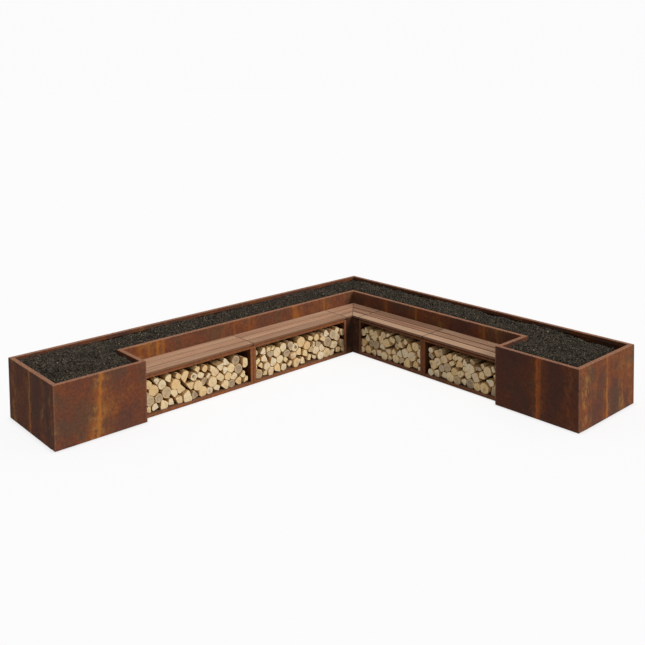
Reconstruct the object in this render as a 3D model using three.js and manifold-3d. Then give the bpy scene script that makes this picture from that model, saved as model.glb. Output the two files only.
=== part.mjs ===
// Corner bench with planter and log store, in weathering steel and hardwood.
// Millimetres, +Z up. The origin is at the middle of the footprint, on the ground.
// The outer corner of the two arms is at the back right: one arm runs to -X, the other to -Y.
import * as THREE from "three";
import { mergeVertices } from "three/addons/utils/BufferGeometryUtils.js";
import Module from "manifold-3d";

const wasm = await Module();
wasm.setup();

// Overall sizes
const leftArmLength = 4700;
const rightArmLength = 4000;
const planterHeight = 600;
const endPlanterLength = 925;
const troughWidth = 575;
const storeReach = 952;
const endPlanterProud = 78;
const cornerPostWidth = 103;
const seatHeight = 450;

// Steel sheet and its folds
const sheet = 3;
const rimWidth = 45;
const rimLip = 40;
const footWidth = 45;
const bendRadius = 6;
const bendSteps = 3;
const gap = 0.3;
const overrun = 5;

// The arms are bolted together from sections. Each seat's joint stands this far past its middle.
const leftJointShift = 25;
const rightJointShift = -10;

// Floor trays and bulkheads
const trayFlange = 30;
const drainRadius = 15;
const drainSides = 12;
const drainSpacing = 600;
const drainInset = 110;
const bulkheadHeight = 480;
const bulkheadFlange = 40;

// Log bays
const bayFlange = 36;
const bayFloorHeight = 28;
const bayRailHeight = 19;
const bayRoofDrop = 18;

// Seat boards and the frames that carry them
const boardThickness = 20;
const boardOverhang = 6;
const boardGap = 8;
const boardRearGap = 4;
const boardEndGap = 2;
const boardChamfer = 2;
const frameBar = 40;
const frameInset = 20;
const frameSetBack = 8;
const frameBarSpacing = 400;

// Soil
const soilDepthBelowRim = 25;
const soilShoulderWidth = 70;

// Firewood
const logRadiusLeast = 36;
const logRadiusMost = 55;
const logRadiusTop = 28;
const logRadiusStep = 2;
const logStackHeight = 318;
const logStackSideGap = 62;
const logSetBack = 14;
const logStagger = 24;
const logBite = 0.6;
const logBulgeShare = 1.14;
const logFacets = 7;
const logEdgeLeast = 13;
const logMostMisses = 3;
const goldenShare = 0.6180339887;
const staggerShare = 0.7548776662;
const tinyShare = 1e-6;

// Sizes that follow from those above. Places along an arm are measured from the outer corner.
const endPlanterWidth = storeReach + endPlanterProud;
const cornerSection = storeReach + cornerPostWidth;
const leftSeatEnd = leftArmLength - endPlanterLength;
const rightSeatEnd = rightArmLength - endPlanterLength;
const leftJoint = (cornerSection + leftSeatEnd) / 2 + leftJointShift;
const rightJoint = (cornerSection + rightSeatEnd) / 2 + rightJointShift;
const boardUnderside = seatHeight - boardThickness;
const bayRoofTop = boardUnderside - bayRoofDrop;
const bayOpeningTop = bayRoofTop - bayRailHeight;
const trayBottom = sheet + gap;
const trayTop = trayBottom + sheet;
const wallClear = bendRadius + gap;
const soilInset = wallClear + 2 * (sheet + gap);
const soilTop = planterHeight - soilDepthBelowRim;
const underLip = planterHeight - rimLip - gap;
const lipClear = rimWidth + gap;
const boardFront = storeReach + boardOverhang;
const boardsPerPanel = 3;
const boardWidth =
  (boardFront - troughWidth - boardRearGap - (boardsPerPanel - 1) * boardGap) / boardsPerPanel;

// Materials
const corten = new THREE.MeshStandardMaterial({ color: 0x6e3d28, roughness: 0.85, metalness: 0.25 });
const innerSteel = new THREE.MeshStandardMaterial({ color: 0x4a2c20, roughness: 0.9, metalness: 0.25 });
const hardwood = new THREE.MeshStandardMaterial({ color: 0xa17a62, roughness: 0.7, metalness: 0 });
const soil = new THREE.MeshStandardMaterial({ color: 0x332e27, roughness: 1, metalness: 0 });
const firewood = new THREE.MeshStandardMaterial({ color: 0xd9bf91, roughness: 0.85, metalness: 0 });

// Booleans

function solidOf(geometry) {
  const bare = geometry.index ? geometry.toNonIndexed() : geometry.clone();
  bare.deleteAttribute("normal");
  bare.deleteAttribute("uv");
  const merged = mergeVertices(bare);
  const mesh = new wasm.Mesh({
    numProp: 3,
    vertProperties: new Float32Array(merged.attributes.position.array),
    triVerts: new Uint32Array(merged.index.array),
  });
  return new wasm.Manifold(mesh);
}

function geometryOf(solid) {
  const mesh = solid.getMesh();
  const geometry = new THREE.BufferGeometry();
  geometry.setAttribute("position", new THREE.BufferAttribute(new Float32Array(mesh.vertProperties), 3));
  geometry.setIndex(new THREE.BufferAttribute(new Uint32Array(mesh.triVerts), 1));
  geometry.computeVertexNormals();
  return geometry;
}

// Shapes. Each arm and each wall has its own frame: x runs along it, z is up.

function outlineShape(points) {
  return new THREE.Shape(points.map(([x, y]) => new THREE.Vector2(x, y)));
}

// A section in (y, z) run along x. Its ends may be slanted, so that a mitre is a function of y.
function run(section, start, end) {
  const geometry = new THREE.ExtrudeGeometry(outlineShape(section), { depth: 1, bevelEnabled: false });
  const position = geometry.attributes.position;
  for (let i = 0; i < position.count; i += 1) {
    const y = position.getX(i);
    const z = position.getY(i);
    const along = position.getZ(i) > 0.5 ? end(y) : start(y);
    position.setXYZ(i, along, y, z);
  }
  geometry.computeVertexNormals();
  return geometry;
}

function squareRun(section, start, end) {
  return run(section, () => start, () => end);
}

// A plan outline in (x, y), raised from one height to another
function raised(shape, bottom, top) {
  const geometry = new THREE.ExtrudeGeometry(shape, { depth: top - bottom, bevelEnabled: false });
  geometry.translate(0, 0, bottom);
  return geometry;
}

function block([x0, y0, z0], [x1, y1, z1]) {
  const geometry = new THREE.BoxGeometry(Math.abs(x1 - x0), Math.abs(y1 - y0), Math.abs(z1 - z0));
  geometry.translate((x0 + x1) / 2, (y0 + y1) / 2, (z0 + z1) / 2);
  return geometry;
}

// Points on a bend from one direction to the next, about its centre, in (y, z)
function bend(centreY, centreZ, radius, fromAngle, toAngle) {
  const points = [];
  for (let i = 0; i <= bendSteps; i += 1) {
    const angle = fromAngle + ((toAngle - fromAngle) * i) / bendSteps;
    points.push([centreY + radius * Math.cos(angle), centreZ + radius * Math.sin(angle)]);
  }
  return points;
}

function part(name, geometry, material) {
  const mesh = new THREE.Mesh(geometry, material);
  mesh.name = name;
  return mesh;
}

// Planter shell

// The folded sheet of every outer wall: foot flange, wall, rim and turned-down lip
function wallSection() {
  const outer = bendRadius;
  const inner = bendRadius - sheet;
  const left = Math.PI;
  const up = Math.PI / 2;
  const right = 0;
  const down = -Math.PI / 2;
  return [
    [footWidth, 0],
    [footWidth, sheet],
    ...bend(bendRadius, bendRadius, inner, down, -left),
    ...bend(bendRadius, planterHeight - bendRadius, inner, left, up),
    ...bend(rimWidth - bendRadius, planterHeight - bendRadius, inner, up, right),
    [rimWidth - sheet, planterHeight - rimLip],
    [rimWidth, planterHeight - rimLip],
    ...bend(rimWidth - bendRadius, planterHeight - bendRadius, outer, right, up),
    ...bend(bendRadius, planterHeight - bendRadius, outer, up, left),
    ...bend(bendRadius, bendRadius, outer, -left, down),
  ];
}

// How a wall ends: a mitre round an outer corner, a mitre into an inner corner, or a square seam
const outerMitre = 1;
const innerMitre = -1;
const seam = 0;

// One wall of the shell between two points of the outline, with the planter on its left
function wall(name, [fromX, fromY], [toX, toY], startEnd, finishEnd) {
  const length = Math.hypot(toX - fromX, toY - fromY);
  const geometry = run(
    wallSection(),
    (y) => gap + startEnd * y,
    (y) => length - gap - finishEnd * y,
  );
  const mesh = part(name, geometry, corten);
  mesh.position.set(fromX, fromY, 0);
  mesh.rotation.z = Math.atan2(toY - fromY, toX - fromX);
  return mesh;
}

// The outline, counterclockwise from the outer corner of the two arms
function shellWalls() {
  const outerCorner = [0, 0];
  const leftBackSeam = [-leftJoint, 0];
  const leftBack = [-leftArmLength, 0];
  const leftFront = [-leftArmLength, -endPlanterWidth];
  const leftInner = [-leftSeatEnd, -endPlanterWidth];
  const leftInnerCorner = [-leftSeatEnd, -troughWidth];
  const leftSeatSeam = [-leftJoint, -troughWidth];
  const innerCorner = [-troughWidth, -troughWidth];
  const rightSeatSeam = [-troughWidth, -rightJoint];
  const rightInnerCorner = [-troughWidth, -rightSeatEnd];
  const rightInner = [-endPlanterWidth, -rightSeatEnd];
  const rightFront = [-endPlanterWidth, -rightArmLength];
  const rightBack = [0, -rightArmLength];
  const rightBackSeam = [0, -rightJoint];
  return [
    wall("back_panel_left_inner", outerCorner, leftBackSeam, outerMitre, seam),
    wall("back_panel_left_outer", leftBackSeam, leftBack, seam, outerMitre),
    wall("end_panel_left", leftBack, leftFront, outerMitre, outerMitre),
    wall("front_panel_left", leftFront, leftInner, outerMitre, outerMitre),
    wall("return_panel_left", leftInner, leftInnerCorner, outerMitre, innerMitre),
    wall("backrest_left_outer", leftInnerCorner, leftSeatSeam, innerMitre, seam),
    wall("backrest_left_inner", leftSeatSeam, innerCorner, seam, innerMitre),
    wall("backrest_right_inner", innerCorner, rightSeatSeam, innerMitre, seam),
    wall("backrest_right_outer", rightSeatSeam, rightInnerCorner, seam, innerMitre),
    wall("return_panel_right", rightInnerCorner, rightInner, innerMitre, outerMitre),
    wall("front_panel_right", rightInner, rightFront, outerMitre, outerMitre),
    wall("end_panel_right", rightFront, rightBack, outerMitre, outerMitre),
    wall("back_panel_right_outer", rightBack, rightBackSeam, outerMitre, seam),
    wall("back_panel_right_inner", rightBackSeam, outerCorner, seam, outerMitre),
  ];
}

// Each arm's own frame: x runs along the arm from the outer corner, and side * y towards the seat
const arms = {
  left: { side: 1, turn: Math.PI, length: leftArmLength, seatEnd: leftSeatEnd, joint: leftJoint },
  right: { side: -1, turn: -Math.PI / 2, length: rightArmLength, seatEnd: rightSeatEnd, joint: rightJoint },
};

function armSection(arm, section) {
  return section.map(([y, z]) => [arm.side * y, z]);
}

function armPlan(arm, points) {
  return outlineShape(points.map(([x, y]) => [x, arm.side * y]));
}

function armBlock(arm, [x0, y0, z0], [x1, y1, z1]) {
  return block([x0, arm.side * y0, z0], [x1, arm.side * y1, z1]);
}

// Floor trays

function traySection(near, far) {
  return [
    [near, trayBottom],
    [far, trayBottom],
    [far, trayBottom + trayFlange],
    [far - sheet, trayBottom + trayFlange],
    [far - sheet, trayTop],
    [near + sheet, trayTop],
    [near + sheet, trayBottom + trayFlange],
    [near, trayBottom + trayFlange],
  ];
}

// Drain holes in a row along the tray, at each side of it
function drained(arm, tray, start, end, near, far) {
  const count = Math.max(1, Math.round((end - start - 2 * drainInset) / drainSpacing));
  let solid = tray;
  for (let i = 0; i <= count; i += 1) {
    const x = start + drainInset + ((end - start - 2 * drainInset) * i) / count;
    for (const y of [near + drainInset, far - drainInset]) {
      const drill = new THREE.CylinderGeometry(drainRadius, drainRadius, sheet + 2 * overrun, drainSides);
      drill.rotateX(Math.PI / 2);
      drill.translate(x, arm.side * y, (trayBottom + trayTop) / 2);
      solid = solid.subtract(solidOf(drill));
    }
  }
  return solid;
}

function tray(name, arm, start, end, far) {
  const near = wallClear;
  const section = armSection(arm, traySection(near, far - wallClear));
  const solid = drained(arm, solidOf(squareRun(section, start, end)), start, end, near, far);
  return part(name, geometryOf(solid), innerSteel);
}

// Soil: level under the lips of two walls, with a low crown between them

function soilSection(width) {
  return [
    [soilInset, trayTop + gap],
    [width - soilInset, trayTop + gap],
    [width - soilInset, underLip],
    [width - lipClear, underLip],
    [width - lipClear - soilShoulderWidth, soilTop],
    [lipClear + soilShoulderWidth, soilTop],
    [lipClear, underLip],
    [soilInset, underLip],
  ];
}

function soilBed(name, arm, start, end, width) {
  return part(name, squareRun(armSection(arm, soilSection(width)), start, end), soil);
}

// An end planter's soil also stays under the lips of its end wall and its return wall
function endSoilBed(name, arm) {
  const start = arm.seatEnd + wallClear;
  const end = arm.length - wallClear;
  const bed = solidOf(squareRun(armSection(arm, soilSection(endPlanterWidth)), start, end));
  const endLip = armBlock(
    arm,
    [arm.length - lipClear, 0, underLip],
    [arm.length, endPlanterWidth, planterHeight],
  );
  const returnLip = armBlock(
    arm,
    [arm.seatEnd, troughWidth - lipClear, underLip],
    [arm.seatEnd + lipClear, endPlanterWidth, planterHeight],
  );
  return part(name, geometryOf(bed.subtract(solidOf(endLip)).subtract(solidOf(returnLip))), soil);
}

// The corner's tray and soil are each made of two runs that meet on the mitre
function cornerSolid(section, end) {
  const halves = Object.values(arms).map((arm) => {
    const half = run(armSection(arm, section), (y) => arm.side * y, () => end);
    half.rotateZ(arm.turn);
    return solidOf(half);
  });
  return halves[0].add(halves[1]);
}

function cornerTray() {
  let solid = cornerSolid(traySection(wallClear, troughWidth - wallClear), cornerSection - gap);
  for (const arm of Object.values(arms)) {
    for (const x of [troughWidth + drainInset, cornerSection - drainInset]) {
      const drill = new THREE.CylinderGeometry(drainRadius, drainRadius, sheet + 2 * overrun, drainSides);
      drill.rotateX(Math.PI / 2);
      drill.translate(x, (arm.side * troughWidth) / 2, (trayBottom + trayTop) / 2);
      drill.rotateZ(arm.turn);
      solid = solid.subtract(solidOf(drill));
    }
  }
  return part("floor_tray_corner", geometryOf(solid), innerSteel);
}

function cornerSoil() {
  const solid = cornerSolid(soilSection(troughWidth), cornerSection - sheet - 2 * gap);
  return part("soil_corner", geometryOf(solid), soil);
}

// Bulkheads: a web across the trough with a flange at each side, bolted to the next section
function bulkhead(name, arm, end) {
  const near = wallClear + sheet + gap;
  const far = troughWidth - near;
  const plan = armPlan(arm, [
    [end - bulkheadFlange, near],
    [end, near],
    [end, far],
    [end - bulkheadFlange, far],
    [end - bulkheadFlange, far - sheet],
    [end - sheet, far - sheet],
    [end - sheet, near + sheet],
    [end - bulkheadFlange, near + sheet],
  ]);
  return part(name, raised(plan, trayTop + gap, bulkheadHeight), innerSteel);
}

// Log bays: floor, sides, roof and a folded frame round the open front, welded into one carcass

// A bay's plan, with its two front edges rounded where the sheet is folded
function bayPlan(arm, start, end, back, front, radius) {
  return armPlan(arm, [
    [start, back],
    [end, back],
    ...bend(end - radius, front - radius, radius, 0, Math.PI / 2),
    ...bend(start + radius, front - radius, radius, Math.PI / 2, Math.PI),
  ]);
}

function logBay(name, arm, start, end) {
  const back = troughWidth + gap;
  const outsidePlan = bayPlan(arm, start, end, back, storeReach, bendRadius);
  const insidePlan = bayPlan(
    arm,
    start + sheet,
    end - sheet,
    back - overrun,
    storeReach - sheet,
    bendRadius - sheet,
  );
  const outside = raised(outsidePlan, 0, bayRoofTop);
  const inside = raised(insidePlan, bayFloorHeight, bayRoofTop - sheet);
  const opening = armBlock(
    arm,
    [start + bayFlange, back, bayFloorHeight],
    [end - bayFlange, storeReach + overrun, bayOpeningTop],
  );
  const underFloor = armBlock(
    arm,
    [start + sheet, back - overrun, -overrun],
    [end - sheet, storeReach - sheet, bayFloorHeight - sheet],
  );
  const carcass = [inside, opening, underFloor].reduce(
    (solid, cut) => solid.subtract(solidOf(cut)),
    solidOf(outside),
  );
  return part(name, geometryOf(carcass), corten);
}

// The blind post at the inner corner: a folded angle with the shelf that carries the seat's corner
function cornerPost() {
  const back = troughWidth + gap;
  const end = cornerSection - gap;
  const reach = storeReach;
  const angle = outlineShape([
    [-reach, -end],
    [-reach, -reach],
    [-end, -reach],
    [-end, -reach + sheet],
    [-reach + sheet, -reach + sheet],
    [-reach + sheet, -end],
  ]);
  const shelf = outlineShape([
    [-back, -back],
    [-end, -back],
    [-end, -reach + sheet / 2],
    [-reach + sheet / 2, -reach + sheet / 2],
    [-reach + sheet / 2, -end],
    [-back, -end],
  ]);
  const post = solidOf(raised(angle, 0, boardUnderside - gap));
  const top = solidOf(raised(shelf, bayRoofTop - sheet, bayRoofTop));
  return part("corner_post", geometryOf(post.add(top)), corten);
}

// Seat frames: flat ladders that lie on the bays' roofs, set back behind their faces, and carry the boards

function ladder(name, arm, start, end) {
  const near = troughWidth + frameInset;
  const far = storeReach - frameSetBack;
  const bottom = bayRoofTop + gap;
  const top = boardUnderside - gap;
  const windows = Math.ceil((end - start - frameBar) / frameBarSpacing);
  const pitch = (end - start - frameBar) / windows;
  let solid = solidOf(armBlock(arm, [start, near, bottom], [end, far, top]));
  for (let i = 0; i < windows; i += 1) {
    const low = [start + i * pitch + frameBar, near + frameBar, bottom - overrun];
    const high = [start + (i + 1) * pitch, far - frameBar, top + overrun];
    solid = solid.subtract(solidOf(armBlock(arm, low, high)));
  }
  return part(name, geometryOf(solid), innerSteel);
}

function cornerFrame() {
  const near = troughWidth + frameInset;
  const far = storeReach - sheet - frameInset;
  const end = cornerSection - frameInset;
  const bottom = bayRoofTop + gap;
  const top = boardUnderside - gap;
  const plan = outlineShape([
    [-near, -near],
    [-end, -near],
    [-end, -far],
    [-far, -far],
    [-far, -end],
    [-near, -end],
  ]);
  const window = block(
    [-near - frameBar, -near - frameBar, bottom - overrun],
    [-far + frameBar, -far + frameBar, top + overrun],
  );
  const solid = solidOf(raised(plan, bottom, top)).subtract(solidOf(window));
  return part("seat_frame_corner", geometryOf(solid), innerSteel);
}

// Seat boards

function boardSection(row) {
  const near = troughWidth + boardRearGap + row * (boardWidth + boardGap);
  const far = near + boardWidth;
  return [
    [near, boardUnderside],
    [far, boardUnderside],
    [far, seatHeight - boardChamfer],
    [far - boardChamfer, seatHeight],
    [near + boardChamfer, seatHeight],
    [near, seatHeight - boardChamfer],
  ];
}

const boardRows = ["rear", "middle", "front"];

function boardPanel(arm, armName, panelName, start, end) {
  return boardRows.map((rowName, row) =>
    part(
      `board_${armName}_${panelName}_${rowName}`,
      run(armSection(arm, boardSection(row)), start, () => end - boardEndGap),
      hardwood,
    ));
}

function seatBoards(arm, armName) {
  return [
    ...boardPanel(arm, armName, "corner", (y) => arm.side * y + boardEndGap, cornerSection),
    ...boardPanel(arm, armName, "inner", () => cornerSection + boardEndGap, arm.joint),
    ...boardPanel(arm, armName, "outer", () => arm.joint + boardEndGap, arm.seatEnd),
  ];
}

// Firewood

function logRadius(index) {
  return logRadiusLeast + (logRadiusMost - logRadiusLeast) * ((index * goldenShare) % 1);
}

// Places where a log of this radius touches two of: the floor, a side of the stack, another log
function restingPlaces(logs, radius, width) {
  if (logs.length === 0) {
    return [[radius, radius]];
  }
  const places = [];
  for (const log of logs) {
    const reach = radius + log.radius;
    const aside = Math.sqrt(Math.max(0, reach ** 2 - (radius - log.z) ** 2));
    places.push([log.x - aside, radius], [log.x + aside, radius]);
    for (const x of [radius, width - radius]) {
      const above = Math.sqrt(Math.max(0, reach ** 2 - (x - log.x) ** 2));
      places.push([x, log.z + above]);
    }
  }
  for (let i = 0; i < logs.length; i += 1) {
    for (let j = i + 1; j < logs.length; j += 1) {
      places.push(...placesOnTwo(logs[i], logs[j], radius));
    }
  }
  return places;
}

function placesOnTwo(first, second, radius) {
  const dx = second.x - first.x;
  const dz = second.z - first.z;
  const distance = Math.hypot(dx, dz);
  const a = first.radius + radius;
  const b = second.radius + radius;
  if (distance > a + b) {
    return [];
  }
  const along = (distance ** 2 + a ** 2 - b ** 2) / (2 * distance);
  const aside = Math.sqrt(Math.max(0, a ** 2 - along ** 2));
  const x = first.x + (dx * along) / distance;
  const z = first.z + (dz * along) / distance;
  return [
    [x - (dz * aside) / distance, z + (dx * aside) / distance],
    [x + (dz * aside) / distance, z - (dx * aside) / distance],
  ];
}

function isFree([x, z], radius, logs, width) {
  const slack = radius * tinyShare;
  return (
    x >= radius - slack &&
    x <= width - radius + slack &&
    z >= radius - slack &&
    logs.every((log) => Math.hypot(x - log.x, z - log.z) >= radius + log.radius - slack)
  );
}

// The lowest place where a log of this radius fits under the stack's height, if there is one
function lowestPlace(logs, radius, width, height) {
  const places = restingPlaces(logs, radius, width).filter((place) => isFree(place, radius, logs, width));
  places.sort((one, other) => one[1] - other[1] || one[0] - other[0]);
  return places.length > 0 && places[0][1] + radius <= height ? places[0] : null;
}

// Logs are dropped in one by one, each to the lowest place where it fits. When the stack is almost full,
// ever thinner ones fill the hollows in its top.
function stackLogs(width, height) {
  const logs = [];
  const drop = (radius) => {
    const place = lowestPlace(logs, radius, width, height);
    if (place) {
      const [x, z] = place;
      logs.push({ x, z, radius, stagger: (logs.length * staggerShare) % 1 });
    }
    return place !== null;
  };
  let misses = 0;
  for (let index = 0; misses < logMostMisses; index += 1) {
    misses += drop(logRadius(index)) ? 0 : 1;
  }
  let radius = logRadiusMost;
  while (radius >= logRadiusTop) {
    radius -= drop(radius) ? 0 : logRadiusStep;
  }
  return logs;
}

// Cuts an outline back to the side of a line that holds the centre
function clipOutline(points, centre, direction, distance) {
  const side = ([x, z]) => (x - centre[0]) * direction[0] + (z - centre[1]) * direction[1] - distance;
  const kept = [];
  points.forEach((point, i) => {
    const next = points[(i + 1) % points.length];
    const here = side(point);
    const there = side(next);
    if (here <= 0) {
      kept.push(point);
    }
    if (here < 0 !== there < 0) {
      const share = here / (here - there);
      kept.push([point[0] + (next[0] - point[0]) * share, point[1] + (next[1] - point[1]) * share]);
    }
  });
  return kept;
}

// A log's end: a polygon round its circle, with a flat wherever a neighbour or the bay presses on it
function logOutline(log, logs, width) {
  const centre = [log.x, log.z];
  let points = [];
  for (let i = 0; i < logFacets; i += 1) {
    const angle = (2 * Math.PI * (i + log.stagger)) / logFacets;
    const reach = log.radius * logBulgeShare;
    points.push([log.x + reach * Math.cos(angle), log.z + reach * Math.sin(angle)]);
  }
  points = clipOutline(points, centre, [0, -1], log.z);
  points = clipOutline(points, centre, [-1, 0], log.x);
  points = clipOutline(points, centre, [1, 0], width - log.x);
  for (const other of logs) {
    const distance = Math.hypot(other.x - log.x, other.z - log.z);
    if (other !== log && distance < 2 * logBulgeShare * logRadiusMost) {
      const direction = [(other.x - log.x) / distance, (other.z - log.z) / distance];
      const flat = (distance ** 2 + log.radius ** 2 - other.radius ** 2) / (2 * distance);
      points = clipOutline(points, centre, direction, flat + logBite);
    }
  }
  return withoutShortEdges(points);
}

// Leaves out each point that lies too close to the one before it
function withoutShortEdges(points) {
  return points.filter(([x, z], i) => {
    const [lastX, lastZ] = points[(i + points.length - 1) % points.length];
    return Math.hypot(x - lastX, z - lastZ) >= logEdgeLeast;
  });
}

function logStack(name, arm, start, end) {
  const width = end - start;
  const back = troughWidth + 2 * gap;
  const floor = bayFloorHeight + gap;
  const logs = stackLogs(width, logStackHeight);
  const solids = logs.map((log) => {
    const outline = logOutline(log, logs, width);
    const shape = outlineShape(outline.map(([x, z]) => [start + x, floor + z]));
    const front = storeReach - sheet - logSetBack - log.stagger * logStagger;
    const prism = new THREE.ExtrudeGeometry(shape, { depth: front - back, bevelEnabled: false });
    prism.rotateX(Math.PI / 2);
    prism.translate(0, arm.side > 0 ? front : -back, 0);
    return solidOf(prism);
  });
  const stack = solids.reduce((whole, log) => whole.add(log));
  return part(name, geometryOf(stack), firewood);
}

// One arm, apart from its walls
function armContents(armName) {
  const arm = arms[armName];
  const endStart = arm.seatEnd + wallClear;
  const endStop = arm.length - wallClear;
  const innerStart = cornerSection + gap;
  const innerStop = arm.joint - gap / 2;
  const outerStart = arm.joint + gap / 2;
  const outerStop = arm.seatEnd - gap;
  const stackStart = sheet + gap;
  const group = new THREE.Group();
  group.rotation.z = arm.turn;
  group.add(
    tray(`floor_tray_${armName}_trough`, arm, cornerSection + gap, arm.seatEnd - gap, troughWidth),
    tray(`floor_tray_${armName}_end`, arm, endStart, endStop, endPlanterWidth),
    bulkhead(`bulkhead_${armName}_corner`, arm, cornerSection - gap),
    bulkhead(`bulkhead_${armName}_end`, arm, arm.seatEnd - gap),
    soilBed(`soil_${armName}_trough`, arm, cornerSection + gap, arm.seatEnd - sheet - 2 * gap, troughWidth),
    endSoilBed(`soil_${armName}_end`, arm),
    logBay(`log_bay_${armName}_inner`, arm, innerStart, innerStop),
    logBay(`log_bay_${armName}_outer`, arm, outerStart, outerStop),
    logStack(`logs_${armName}_inner`, arm, innerStart + stackStart, innerStop - stackStart),
    logStack(`logs_${armName}_outer`, arm, outerStart + logStackSideGap, outerStop - stackStart),
    ladder(`seat_frame_${armName}_inner`, arm, innerStart + frameInset, innerStop - frameInset),
    ladder(`seat_frame_${armName}_outer`, arm, outerStart + frameInset, outerStop - frameInset),
    ...seatBoards(arm, armName),
  );
  return group;
}

const bench = new THREE.Group();
bench.position.set(leftArmLength / 2, rightArmLength / 2, 0);
bench.add(
  ...shellWalls(),
  cornerTray(),
  cornerSoil(),
  cornerPost(),
  cornerFrame(),
  armContents("left"),
  armContents("right"),
);

export default bench;
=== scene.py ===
"""The finish of a corner bench with planter and log store: rusted steel, hardwood seat, soil and firewood.

Metres, +Z up, in the frame of the solids. The outer corner of the two arms is at the back right.
Places on an arm are given as along (from the outer corner), depth (from the back wall) and height.
"""
import math
from collections import namedtuple
from functools import cache
from itertools import product
from random import Random

import bpy
from mathutils import Matrix, Vector, noise


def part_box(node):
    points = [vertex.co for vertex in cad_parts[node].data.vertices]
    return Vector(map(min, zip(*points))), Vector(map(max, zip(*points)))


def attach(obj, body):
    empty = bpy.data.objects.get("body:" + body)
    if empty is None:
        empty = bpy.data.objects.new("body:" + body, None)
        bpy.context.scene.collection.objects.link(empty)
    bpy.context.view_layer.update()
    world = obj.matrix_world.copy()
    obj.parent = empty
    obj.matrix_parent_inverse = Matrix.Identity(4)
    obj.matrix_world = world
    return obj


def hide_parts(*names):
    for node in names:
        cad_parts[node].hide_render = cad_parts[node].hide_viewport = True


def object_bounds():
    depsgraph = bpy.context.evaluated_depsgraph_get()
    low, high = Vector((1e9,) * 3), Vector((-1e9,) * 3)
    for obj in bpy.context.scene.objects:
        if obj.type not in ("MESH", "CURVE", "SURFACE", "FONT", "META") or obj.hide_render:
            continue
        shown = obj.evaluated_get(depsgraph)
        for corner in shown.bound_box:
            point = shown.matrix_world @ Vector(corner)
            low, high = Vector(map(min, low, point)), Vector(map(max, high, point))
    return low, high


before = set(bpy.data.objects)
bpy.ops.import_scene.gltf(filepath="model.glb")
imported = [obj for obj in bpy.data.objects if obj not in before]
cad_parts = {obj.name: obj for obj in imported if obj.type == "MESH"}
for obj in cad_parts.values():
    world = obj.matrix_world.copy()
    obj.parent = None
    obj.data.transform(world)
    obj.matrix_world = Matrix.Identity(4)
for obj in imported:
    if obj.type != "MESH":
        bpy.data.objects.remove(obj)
solid_low, solid_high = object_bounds()

# Sizes of the steel planter and the seat
RIM_HEIGHT = solid_high.z
RIM_WIDTH = 0.045
LIP_HEIGHT = 0.040
SHEET = 0.003
GAP = 0.0003
TROUGH_WIDTH = 0.575
END_PLANTER_WIDTH = 1.030
END_PLANTER_LENGTH = 0.925
LEFT_ARM_LENGTH = solid_high.x - solid_low.x
RIGHT_ARM_LENGTH = solid_high.y - solid_low.y
OUTER_CORNER = Vector((solid_high.x, solid_high.y, 0))

# The photographer's camera. The principal point lies above the middle of the picture.
CAMERA_PLACE = Vector((-5.2439, -5.8475, 3.2629))
CAMERA_YAW = math.radians(41.937)
CAMERA_PITCH = math.radians(-3.5)
CAMERA_ROLL = math.radians(-0.694)
PICTURE_SIDE = 645
FOCAL_PIXELS = 812.2
PRINCIPAL_RISE_PIXELS = 192.9
SENSOR_WIDTH = 36.0

# Studio
FLOOR_SIDE = 400.0
FLOOR_TINT = (0.30, 0.30, 0.30, 1)
FLOOR_GLOW = 0.607
BACKDROP_TINT = (0.965, 0.97, 0.968, 1)
WHITE = (1, 1, 1, 1)
AMBIENT_STRENGTH = 0.30
Sun = namedtuple("Sun", "name towards strength spread")
TOP_LIGHT = Sun("top_light", Vector((0, 0, 1)), 2.89, math.radians(10))
KEY_LIGHT = Sun("key_light", Vector((0.35, -0.80, 0.455)), 3.2, math.radians(24))
FILL_LIGHT = Sun("fill_light", Vector((-0.85, -0.25, 0.35)), 0.45, math.radians(40))

Arm = namedtuple("Arm", "name along_axis depth_axis length")
LEFT = Arm("left", Vector((-1, 0, 0)), Vector((0, -1, 0)), LEFT_ARM_LENGTH)
RIGHT = Arm("right", Vector((0, -1, 0)), Vector((-1, 0, 0)), RIGHT_ARM_LENGTH)
ARMS = (LEFT, RIGHT)


def arm_point(arm, along, depth, height):
    return OUTER_CORNER + arm.along_axis * along + arm.depth_axis * depth + Vector((0, 0, height))


def arm_range(arm, node):
    """The lowest and highest (along, depth, height) of a solid on an arm."""
    low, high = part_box(node)
    spans = [
        sorted((p - OUTER_CORNER).dot(axis) for p in (low, high))
        for axis in (arm.along_axis, arm.depth_axis, Vector((0, 0, 1)))
    ]
    return [s[0] for s in spans], [s[1] for s in spans]


STORE_REACH = arm_range(LEFT, "log_bay_left_inner")[1][1]

# Node trees


def add(tree, kind, inputs=None, **settings):
    """Adds a node. An input is a value, or another node's output to link."""
    node = tree.nodes.new(kind)
    for name, value in settings.items():
        setattr(node, name, value)
    for key, value in (inputs or {}).items():
        if isinstance(value, bpy.types.NodeSocket):
            tree.links.new(value, node.inputs[key])
        else:
            node.inputs[key].default_value = value
    return node


def calculate(tree, operation, a, b=0.0):
    return add(tree, "ShaderNodeMath", {0: a, 1: b}, operation=operation).outputs[0]


def plus(tree, a, b):
    return calculate(tree, "ADD", a, b)


def times(tree, a, b):
    return calculate(tree, "MULTIPLY", a, b)


def scaled(tree, vector, factors):
    return add(tree, "ShaderNodeVectorMath", {0: vector, 1: factors}, operation="MULTIPLY").outputs[0]


def shifted(tree, vector, offset):
    return add(tree, "ShaderNodeVectorMath", {0: vector, 1: offset}, operation="ADD").outputs[0]


def object_place(tree):
    return add(tree, "ShaderNodeTexCoord").outputs["Object"]


def parts_of(tree, vector):
    """The X, Y and Z of a vector."""
    return add(tree, "ShaderNodeSeparateXYZ", {0: vector}).outputs


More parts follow.
